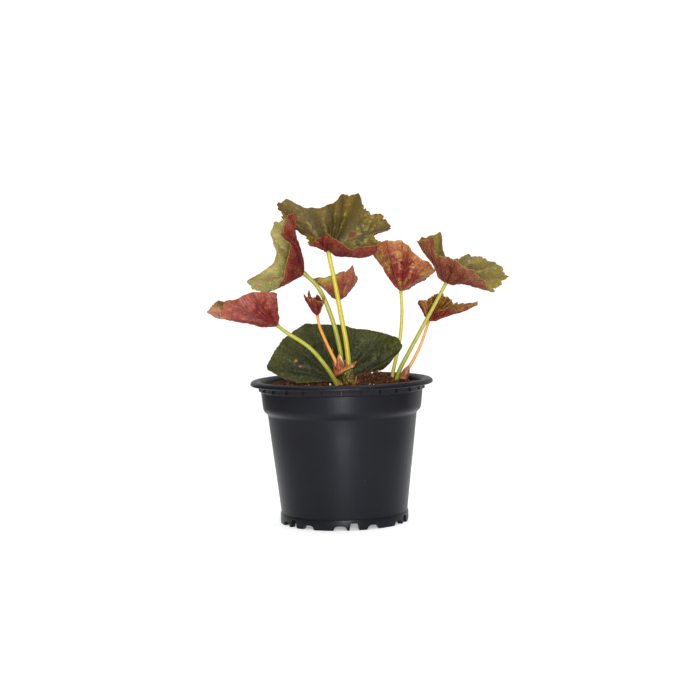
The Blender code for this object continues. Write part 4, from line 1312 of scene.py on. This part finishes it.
def paperFinish(name, dark, light, pale):
    gloss = {"Specular IOR Level": 0.35, "Subsurface Weight": 0.15, "Subsurface Scale": 0.0006}
    finish = Finish(name, gloss)
    fibre = finish.cloud(0.8, 4, finish.stretched(1, 1, 0.15))
    patch = finish.cloud(2.4, 3)
    colour = finish.blend(finish.between(patch, 0.35, 0.65), dark, light)
    colour = finish.blend(finish.between(fibre, 0.47, 0.65) * 0.6, colour, (0.11, 0.025, 0.010))
    # pale streaks along the fibres: a painted highlight on the folds of the papery sheath and scales
    colour = finish.blend(finish.between(fibre + patch * 0.5, 0.58, 0.42) * 0.55, colour, pale)
    tip = finish.between(finish.marked("height") + patch * 0.3, 0.75, 1.15)
    colour = finish.blend(tip * 0.75, colour, (0.38, 0.17, 0.06))
    colour = finish.blend(finish.marked("collar") * 0.9, colour, (0.50, 0.27, 0.05))
    colour = finish.blend(finish.marked("white") * 0.9, colour, (0.62, 0.62, 0.42))
    finish.set("Base Color", colour)
    finish.set("Roughness", 0.4 + fibre * 0.2)
    finish.set("Normal", finish.bump(fibre, 0.25, finish.bump(patch, 0.4)))
    return finish


def turnedFrom(turn, faces, half):  # 1 where a turn in degrees faces that way, 0 beyond half
    return max(0.0, 1 - abs((turn - faces + 180) % 360 - 180) / half)


def makeSheath(finish):
    sides, levels = sheath["sides"], sheath["levels"]
    collar, white = sheath["collar"], sheath["white"]
    points, fields = [], {"height": [], "collar": [], "white": []}
    for inside in (False, True):
        for i in range(levels + 1):
            level = i / levels
            for k in range(sides):
                turn = 2 * math.pi * k / sides
                way = outward(turn)
                height, flare = sheath["low"], 0.0
                for scale in sheath["scales"]:
                    share = turnedFrom(math.degrees(turn), scale["faces"], scale["half"])
                    height = max(height, scale["height"] * share ** scale["blunt"])
                    flare += scale["flare"] * share
                height += noise.noise(way * 9) * 1.0 + noise.noise(way * 23) * 0.8
                foot = sheath["slant"] * way.x
                spread = min(1.0, level * 3.2)
                radius = sheath["footRadius"] + (sheath["radius"] - sheath["footRadius"]) * spread
                crease = noise.noise(way * 7 + Vector((0, 0, level * 0.8))) * 0.6
                radius += flare * level**2 + crease * min(1, level * 3)
                front = min(1.0, 2 * turnedFrom(math.degrees(turn), collar["faces"], collar["half"]))
                z = foot + height * level
                ledge = front * math.exp(-((z - foot - collar["above"]) ** 2))
                radius += collar["out"] * ledge
                if inside:
                    radius -= sheath["wall"] + ledge * 0.8
                    z = foot + 1.2 + (height - 1.2) * level
                place = at(radius * math.cos(turn) + sheath["lean"] * z, radius * math.sin(turn), z)
                points.append(sheath["middle"] + place)
                fields["height"].append(level)
                fields["collar"].append(ledge)
                pale = turnedFrom(math.degrees(turn), white["faces"], white["half"])
                pale = pale * max(0.0, level * 4 - 3)
                fields["white"].append(min(1.0, pale * 2))
    half = (levels + 1) * sides
    faces = []
    for i in range(levels):
        for k in range(sides):
            after = (k + 1) % sides
            a, b = i * sides + k, i * sides + after
            faces.append((a, b, b + sides, a + sides))
            faces.append((a + half, a + sides + half, b + sides + half, b + half))
    for k in range(sides):
        after = (k + 1) % sides
        top = levels * sides
        faces.append((top + k, top + after, top + after + half, top + k + half))
    faces.append(tuple(reversed(range(sides))))
    faces.append(tuple(range(half, half + sides)))
    obj = makePiece("fine_sheath", points, faces, [finish])
    for field, values in fields.items():
        mark(obj, field, values)
    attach(obj, "root")
    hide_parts("sheath")


paper = paperFinish("papery brown sheath", (0.15, 0.018, 0.006), (0.37, 0.095, 0.032), (0.55, 0.20, 0.11))
makeSheath(paper)

clasp = {
    "stalk": "stalk_young_right",
    "faces": 238,
    "half": 118,
    "start": 0.155,
    "length": 0.27,
    "gap": 0.7,
    "wall": 0.35,
    "levels": 40,
    "spokes": 30,
}


def makeClasp(finish):  # the pointed scale round the foot of the young right stalk
    stalk = stalks[clasp["stalk"]]
    route = stalkRoute(stalk)
    last = len(route) - 1
    levels, spokes = clasp["levels"], clasp["spokes"]
    points, heights = [], []
    for outside in (False, True):
        for i in range(levels + 1):
            share = i / levels
            centre = splineRow(route, last * (clasp["start"] + clasp["length"] * share))[0]
            width = math.radians(clasp["half"]) * (1 - share**1.6 * 0.96)
            radius = stalk["radii"][0] + clasp["gap"] + 1.0 * math.sin(math.pi * share**0.8)
            radius += clasp["wall"] if outside else 0
            for j in range(spokes + 1):
                turn = math.radians(clasp["faces"]) + width * (2 * j / spokes - 1)
                way = outward(turn)
                crease = noise.noise(way * 5 + Vector((0, 0, share * 2))) * 0.35
                points.append(Vector(centre) + way * (radius + crease) * mm)
                heights.append(share)
    row = spokes + 1
    half = len(points) // 2
    faces = []
    for i in range(levels):
        for j in range(spokes):
            a, b = i * row + j, i * row + j + 1
            faces.append((a, a + row, b + row, b))
            faces.append((a + half, b + half, b + row + half, a + row + half))
    edge = list(range(row)) + [i * row + spokes for i in range(1, levels + 1)]
    edge += [levels * row + j for j in range(spokes - 1, -1, -1)]
    edge += [i * row for i in range(levels - 1, 0, -1)]
    for a, b in zip(edge, edge[1:] + edge[:1]):
        faces.append((a, b, b + half, a + half))
    obj = makePiece("fine_scale_right", points, faces, [finish])
    mark(obj, "height", heights)
    mark(obj, "collar", [0.0] * len(points))
    mark(obj, "white", [0.0] * len(points))
    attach(obj, "root")
    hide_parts("scale_right")


rosy = paperFinish("rosy brown scale", (0.20, 0.06, 0.02), (0.42, 0.17, 0.055), (0.60, 0.40, 0.30))
makeClasp(rosy)

# reddish slivers of old scales at the stem's foot: foot, tip and half width in mm
slivers = [
    {"foot": (-0.4, -10.4, 89.6), "tip": (-4.2, -8.5, 95.6), "wide": 1.1},
    {"foot": (0.6, -10.2, 89.8), "tip": (-1.6, -9.4, 94.2), "wide": 0.8},
    {"foot": (8.4, -7.8, 90.2), "tip": (9.9, -7.4, 96.0), "wide": 1.0},
    {"foot": (9.6, -6.4, 90.4), "tip": (11.6, -5.6, 93.4), "wide": 0.7},
]


def makeSlivers(finish):
    points, faces, heights = [], [], []
    for sliver in slivers:
        foot, tip = Vector(sliver["foot"]), Vector(sliver["tip"])
        bow = (foot + tip) / 2 + Vector((0.3, -0.7, 0))
        steps = 12
        path = splineRow([foot * mm, bow * mm, tip * mm], np.linspace(0, 2, steps + 1))
        swells = [math.sin(math.pi * (0.3 + 0.7 * k / steps)) for k in range(steps + 1)]
        radii = [sliver["wide"] * mm * max(0.04, swell) for swell in swells]
        more, sides, along, _ = tubeNet(path, radii, sides=10, wobble=0.3)
        addNet(points, faces, more, sides)
        heights += along
    obj = makePiece("crown_slivers", points, faces, [finish])
    for field, share in (("height", 1.0), ("collar", 0.0), ("white", 0.0)):
        mark(obj, field, [share * value for value in heights])
    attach(obj, "root")


makeSlivers(rosy)
print("sheath, scale and slivers")


# The pot
pot = {
    "height": 94,
    "rim": 60,
    "base": 42.2,
    "wall": 1.2,
    "floorLift": 3.5,
    "floor": 1.4,
    "pad": 12,
    "footWidth": 3.4,
    "footHeight": 7,
    "collar": 73,
    "ring": 87,
    "lip": 3.4,
    "segments": 216,
    "gaps": {"count": 12, "wide": 8.0, "high": 2.9, "turn": -3.75, "past": 4},
    "holes": {"count": 6, "wide": 5.6, "high": 5.4, "turn": 8.6, "past": 6},
}


def wallRadius(z):
    return 41.6 + 7.6 * (z - pot["footHeight"]) / (pot["collar"] - pot["footHeight"])


def potOutside():
    lipFoot = pot["height"] - pot["lip"]
    collar, ring, rim, base, top = pot["collar"], pot["ring"], pot["rim"], pot["base"], pot["height"]
    return [
        (0, 0),
        (pot["pad"], 0),
        (pot["pad"] + 2.5, pot["floorLift"]),
        (base - pot["footWidth"] - 0.7, pot["floorLift"]),
        (base - pot["footWidth"], 0.3),
        (base - pot["footWidth"] + 0.3, 0),
        (base - 0.5, 0),
        (base - 0.15, 0.15),
        (base, 0.6),
        (base, pot["footHeight"] - 0.8),
        (base - 0.15, pot["footHeight"] - 0.35),
        (wallRadius(pot["footHeight"]), pot["footHeight"]),
        (wallRadius(20), 20),
        (wallRadius(40), 40),
        (wallRadius(58), 58),
        (wallRadius(collar - 2.2), collar - 2.2),
        (wallRadius(collar - 1.4) + 0.1, collar - 1.4),
        (50.2, collar - 0.3),
        (51.2, collar + 0.6),
        (51.7, collar + 1.6),
        (52.0, collar + 2.8),
        (52.15, collar + 4.0),
        (52.7, collar + 9),
        (53.15, ring - 0.5),
        (53.5, ring - 0.3),
        (54.1, ring + 0.1),
        (54.25, ring + 0.5),
        (54.4, lipFoot + 0.5),
        (54.6, lipFoot + 0.85),
        (57.2, lipFoot + 0.75),
        (57.6, lipFoot + 0.5),
        (58.4, lipFoot),
        (rim - 0.6, lipFoot + 0.1),
        (rim - 0.15, lipFoot + 0.5),
        (rim, lipFoot + 1.1),
        (rim - 0.08, top - 1.9),
        (rim - 0.35, top - 1.3),
        (rim - 0.85, top - 0.75),
        (rim - 1.6, top - 0.32),
        (rim - 2.5, top - 0.07),
        (56.6, top),
        (55.8, top - 0.1),
        (55.0, top - 0.38),
        (54.3, top - 0.8),
        (53.75, top - 1.3),
    ]


def potInside():
    ring, collar, foot = pot["ring"], pot["collar"], pot["footHeight"]
    floor = pot["floorLift"] + pot["floor"]
    return [
        (53.35, pot["height"] - 1.85),
        (53.1, pot["height"] - 2.4),
        (52.9, ring + 1.4),
        (52.0, ring + 0.6),
        (50.9, collar + 3.8),
        (50.4, collar + 2.2),
        (49.0, collar + 0.6),
        (wallRadius(collar - 1) - pot["wall"], collar - 1),
        (wallRadius(foot) - pot["wall"], foot + 1),
        (wallRadius(foot) - pot["wall"] - 1.0, floor),
        (pot["pad"] + 1.2, floor),
        (pot["pad"] - 1.3, pot["floor"]),
        (0, pot["floor"]),
    ]


def turned(name, profile, segments, finish):  # a solid of revolution about Z
    points = [at(0, 0, profile[0][1])]
    rings = []
    for radius, height in profile[1:-1]:
        rings.append(range(len(points), len(points) + segments))
        for k in range(segments):
            turn = 2 * math.pi * k / segments
            points.append(at(radius * math.cos(turn), radius * math.sin(turn), height))
    points.append(at(0, 0, profile[-1][1]))
    faces = []
    for k in range(segments):
        after = (k + 1) % segments
        faces.append((0, rings[0][after], rings[0][k]))
        faces.append((len(points) - 1, rings[-1][k], rings[-1][after]))
        for low, high in zip(rings, rings[1:]):
            faces.append((low[k], low[after], high[after], high[k]))
    return makePiece(name, points, faces, [finish])


def archCutter(turn, wide, high, deep):  # a block along a radius, wider at its foot and rounded on top
    outwards = outward(turn)
    sideways = Vector((-math.sin(turn), math.cos(turn), 0))
    middle = outwards * (pot["base"] - pot["footWidth"] / 2)
    outline = [(-0.62, -1.0), (0.62, -1.0), (0.5, high * 0.45)]
    for k in range(1, 8):
        bend = math.pi * k / 8
        across = math.copysign(0.46 * abs(math.cos(bend)) ** 0.6, math.cos(bend))
        outline.append((across, high * (0.5 + 0.5 * math.sin(bend))))
    outline.append((-0.5, high * 0.45))
    points = []
    for side in (-0.5, 0.5):
        for across, z in outline:
            flat = middle + outwards * side * deep + sideways * across * wide
            points.append(flat * mm + Vector((0, 0, z * mm)))
    count = len(outline)
    faces = [tuple(range(count)), tuple(reversed(range(count, 2 * count)))]
    for k in range(count):
        after = (k + 1) % count
        faces.append((after, k, k + count, after + count))
    return points, faces


def potFinish():
    gloss = {"Specular IOR Level": 0.14, "Specular Tint": (0.86, 0.89, 1.0, 1.0)}
    finish = Finish("black pot plastic", gloss)
    haze = finish.cloud(40, 3)
    drag = finish.cloud(1.6, 3, finish.stretched(1, 1, 0.05))
    colour = finish.blend(haze, (0.0045, 0.0045, 0.0062), (0.0072, 0.0072, 0.0095))
    dust = finish.between(finish.cloud(3.0, 5), 0.5, 0.75) * finish.marked("lip")
    colour = finish.blend(dust * 0.2, colour, (0.07, 0.045, 0.03))
    speck = (1 - finish.between(finish.cells(7), 0.03, 0.06)) * 0.5
    colour = finish.blend(speck, colour, (0.06, 0.055, 0.05))
    finish.set("Base Color", colour)
    finish.set("Roughness", 0.3 + haze * 0.06 + drag * 0.08 + finish.marked("lip") * 0.02 + dust * 0.2)
    finish.set("Normal", finish.bump(drag, 0.05, finish.bump(finish.cloud(0.6, 2), 0.02)))
    return finish


def makePot(finish):
    obj = turned("fine_pot", potOutside() + potInside(), pot["segments"], finish)
    points, faces = [], []
    for kind in ("gaps", "holes"):
        cutter = pot[kind]
        deep = pot["footWidth"] + cutter["past"]
        for k in range(cutter["count"]):
            turn = math.radians(cutter["turn"] - 90 + 360 * k / cutter["count"])
            more, sides = archCutter(turn, cutter["wide"], cutter["high"], deep)
            addNet(points, faces, more, sides)
    tool = makePiece("foot_cutter", points, faces, [finish])
    shell = bmesh.new()
    shell.from_mesh(tool.data)
    bmesh.ops.recalc_face_normals(shell, faces=shell.faces)
    shell.to_mesh(tool.data)
    shell.free()
    difference = obj.modifiers.new("foot", "BOOLEAN")
    difference.operation = "DIFFERENCE"
    difference.use_self = True
    difference.object = tool
    graph = bpy.context.evaluated_depsgraph_get()
    whole = bpy.data.meshes.new_from_object(obj.evaluated_get(graph))
    obj.modifiers.clear()
    obj.data = whole
    bpy.data.objects.remove(tool)
    obj.data.shade_smooth()
    obj.data.set_sharp_from_angle(angle=math.radians(32))
    heights = np.empty(len(obj.data.vertices) * 3)
    obj.data.vertices.foreach_get("co", heights)
    z = heights.reshape(-1, 3)[:, 2] / mm
    mark(obj, "lip", np.clip((z - pot["ring"] - 3.2) / 2.5, 0, 1))
    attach(obj, "root")
    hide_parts("pot")


ringRibs = {"count": 27, "wide": 0.7, "inner": 53.8, "outer": 54.95, "low": 87.3, "high": 91.3}


def makeRingRibs(finish):  # the thin upright ribs under the lip
    points, faces = [], []
    for k in range(ringRibs["count"]):
        turn = 2 * math.pi * k / ringRibs["count"] - math.pi / 2
        outwards = outward(turn)
        sideways = Vector((-math.sin(turn), math.cos(turn), 0)) * ringRibs["wide"] / 2
        start = len(points)
        for z in (ringRibs["low"], ringRibs["high"]):
            for radius, side in (("inner", -1), ("inner", 1), ("outer", 0.7), ("outer", -0.7)):
                points.append((outwards * ringRibs[radius] + sideways * side + Vector((0, 0, z))) * mm)
        faces.append((start + 3, start + 2, start + 1, start))
        faces.append((start + 4, start + 5, start + 6, start + 7))
        for j in range(4):
            after = (j + 1) % 4
            faces.append((start + j, start + after, start + after + 4, start + j + 4))
    obj = makePiece("pot_ring_ribs", points, faces, [finish])
    obj.data.shade_flat()
    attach(obj, "root")


plastic = potFinish()
makePot(plastic)
makeRingRibs(plastic)
print("pot")


# The soil, its crumbs, perlite and fibres
soil = {
    "level": 89.6,
    "edge": 52.2,
    "crumb": 0.8,
    "mounds": [
        {"x": 21.5, "y": 5, "height": 6.6, "wide": 13.5, "deep": 11},
        {"x": -30, "y": 34, "height": 2.0, "wide": 22, "deep": 14},
    ],
    "lumpEdge": 52,
    "gap": 0.3,
    "around": 240,
    "rings": 110,
}


def soilTop(x, y):  # mm; the same surface as the solid's, with finer lumps
    height = soil["level"]
    for mound in soil["mounds"]:
        across, back = (x - mound["x"]) / mound["wide"], (y - mound["y"]) / mound["deep"]
        height += mound["height"] * math.exp(-(across**2) - back**2)
    lumps = soil["crumb"] * (
        math.sin(x * 0.71 + 1.3) * math.cos(y * 0.83) + 0.6 * math.sin(x * 1.37 - y * 1.19)
    )
    spot = Vector((x, y, 0))
    lumps += noise.fractal(spot * 0.45, 0.8, 2.1, 4) * 0.8 + noise.noise(spot * 2.3) * 0.25
    edge = min(1.0, (soil["lumpEdge"] - math.hypot(x, y)) / 8)
    return height + lumps * max(0.0, edge)


def soilFinish():
    finish = Finish("peaty soil", {"Roughness": 0.85, "Specular IOR Level": 0.1})
    patch = finish.cloud(4.0, 5)
    grain = finish.cells(1.1)
    colour = finish.blend(finish.between(patch, 0.3, 0.72), (0.018, 0.007, 0.003), (0.095, 0.032, 0.013))
    shreds = finish.between(finish.cloud(0.9, 4), 0.55, 0.75)
    finish.set("Base Color", finish.blend(shreds * 0.6, colour, (0.18, 0.075, 0.03)))
    finish.set("Normal", finish.bump(grain, 0.5, finish.bump(patch, 1.2)))
    return finish


def makeSoil(finish):
    around, rings, gap = soil["around"], soil["rings"], soil["gap"]
    points = [at(0, 0, soilTop(0, 0))]
    for i in range(1, rings + 1):
        radius = soil["edge"] * i / rings
        for k in range(around):
            turn = 2 * math.pi * k / around
            x, y = radius * math.cos(turn), radius * math.sin(turn)
            points.append(at(x, y, soilTop(x, y)))
    side = [place for place in potInside() if place[1] < soil["level"] - 1]
    for radius, height in side[:-1]:
        for k in range(around):
            turn = 2 * math.pi * k / around
            inner = max(radius - gap, 0.1)
            points.append(at(inner * math.cos(turn), inner * math.sin(turn), height + gap))
    points.append(at(0, 0, side[-1][1] + gap))
    faces = []
    total = rings + len(side) - 1
    for k in range(around):
        after = (k + 1) % around
        faces.append((0, 1 + k, 1 + after))
        for i in range(total - 1):
            a, b = 1 + i * around + k, 1 + i * around + after
            faces.append((a, a + around, b + around, b))
        last = 1 + (total - 1) * around
        faces.append((last + k, len(points) - 1, last + after))
    obj = makePiece("fine_soil", points, faces, [finish])
    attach(obj, "root")
    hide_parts("soil")


def lumpNet(centre, size, rng, detail):  # one rough grain
    ball = bmesh.new()
    bmesh.ops.create_icosphere(ball, subdivisions=detail, radius=1)
    stretch = Vector((rng.uniform(0.6, 1.3), rng.uniform(0.6, 1.3), rng.uniform(0.5, 1.0)))
    turn = Euler((rng.uniform(0, 6), rng.uniform(0, 6), rng.uniform(0, 6))).to_matrix()
    shift = Vector((rng.uniform(0, 50), rng.uniform(0, 50), rng.uniform(0, 50)))
    points = []
    for vertex in ball.verts:
        place = vertex.co * (1 + 0.45 * noise.noise(vertex.co * 1.6 + shift))
        place = turn @ Vector((place.x * stretch.x, place.y * stretch.y, place.z * stretch.z))
        points.append(centre + place * size)
    faces = [tuple(v.index for v in face.verts) for face in ball.faces]
    ball.free()
    return points, faces


# What lies on the soil: heaped says that one in so many lies on the first mound, and placed gives the
# x, y and size of those that are seen one by one.
crumbs = {
    "count": 1100,
    "seed": 7,
    "sizes": (0.4, 1.9),
    "detail": 1,
    "lift": 0.25,
    "reach": 51,
    "edge": 51.8,
    "heaped": 5,
    "placed": [],
}
perlite = {
    "count": 34,
    "seed": 12,
    "sizes": (0.35, 1.1),
    "detail": 2,
    "lift": 0.4,
    "reach": 51,
    "edge": 51.8,
    "heaped": 0,
    "placed": [(24.0, 5.0, 1.45), (20.2, 4.6, 1.0), (27.6, 3, 0.75), (26, 6, 0.6), (-21.5, -6, 0.7)],
}
fibres = {
    "count": 420,
    "seed": 31,
    "length": (1.5, 7),
    "bend": 0.9,
    "hop": (0.1, 0.7),
    "thick": (0.08, 0.24),
    "steps": 7,
    "reach": 49,
    "edge": 51,
}


def somewhere(rng, reach):  # anywhere on the soil, evenly spread
    radius = reach * math.sqrt(rng.random())
    turn = rng.uniform(0, 2 * math.pi)
    return radius * math.cos(turn), radius * math.sin(turn)


def scatter(name, grains, finish):
    rng = random.Random(grains["seed"])
    small, large = grains["sizes"]
    mound = soil["mounds"][0]
    points, faces = [], []
    for k in range(grains["count"]):
        x, y = somewhere(rng, grains["reach"])
        size = small + (large - small) * rng.random() ** 2.2
        if k < len(grains["placed"]):
            x, y, size = grains["placed"][k]
        if grains["heaped"] and k % grains["heaped"] == 0:
            x = rng.gauss(mound["x"], mound["wide"] * 0.6)
            y = rng.gauss(mound["y"], mound["deep"] * 0.6)
        if math.hypot(x, y) + size > grains["edge"]:
            continue
        centre = at(x, y, soilTop(x, y) + size * grains["lift"])
        more, sides = lumpNet(centre, size * mm, rng, grains["detail"])
        addNet(points, faces, more, sides)
    obj = makePiece(name, points, faces, [finish])
    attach(obj, "root")


def makeFibres(finish):  # shreds of bark and root lying on the soil
    rng = random.Random(fibres["seed"])
    steps = fibres["steps"]
    points, faces = [], []
    for _ in range(fibres["count"]):
        x, y = somewhere(rng, fibres["reach"])
        way = rng.uniform(0, 2 * math.pi)
        length = rng.uniform(*fibres["length"])
        bend = rng.uniform(-fibres["bend"], fibres["bend"])
        path = []
        for k in range(steps + 1):
            share = k / steps
            px = x + math.cos(way + bend * share) * length * (share - 0.5)
            py = y + math.sin(way + bend * share) * length * (share - 0.5)
            if math.hypot(px, py) > fibres["edge"]:
                break
            hop = math.sin(math.pi * share) * rng.uniform(*fibres["hop"])
            path.append(at(px, py, soilTop(px, py) + hop))
        if len(path) < steps + 1:
            continue
        thick = rng.uniform(*fibres["thick"]) * mm
        radii = [thick * (1 - 0.5 * abs(2 * k / steps - 1)) for k in range(steps + 1)]
        more, sides, _, _ = tubeNet(path, radii, sides=5, wobble=0.1)
        addNet(points, faces, more, sides)
    obj = makePiece("soil_fibres", points, faces, [finish])
    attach(obj, "root")


earth = soilFinish()
makeSoil(earth)
bark = Finish("bark crumbs", {"Roughness": 0.8, "Specular IOR Level": 0.15})
tint = bark.between(bark.cloud(2.2, 3), 0.35, 0.7)
bark.set("Base Color", bark.blend(tint, (0.022, 0.008, 0.004), (0.14, 0.048, 0.018)))
bark.set("Normal", bark.bump(bark.cloud(0.5, 4), 0.15))
scatter("soil_crumbs", crumbs, bark)
grit = Finish("white perlite", {"Roughness": 0.75})
grit.set("Base Color", grit.blend(grit.cloud(0.8, 4), (0.55, 0.52, 0.47), (0.86, 0.85, 0.82)))
grit.set("Normal", grit.bump(grit.cells(0.4), 0.12))
scatter("soil_perlite", perlite, grit)
makeFibres(bark)
print("soil")
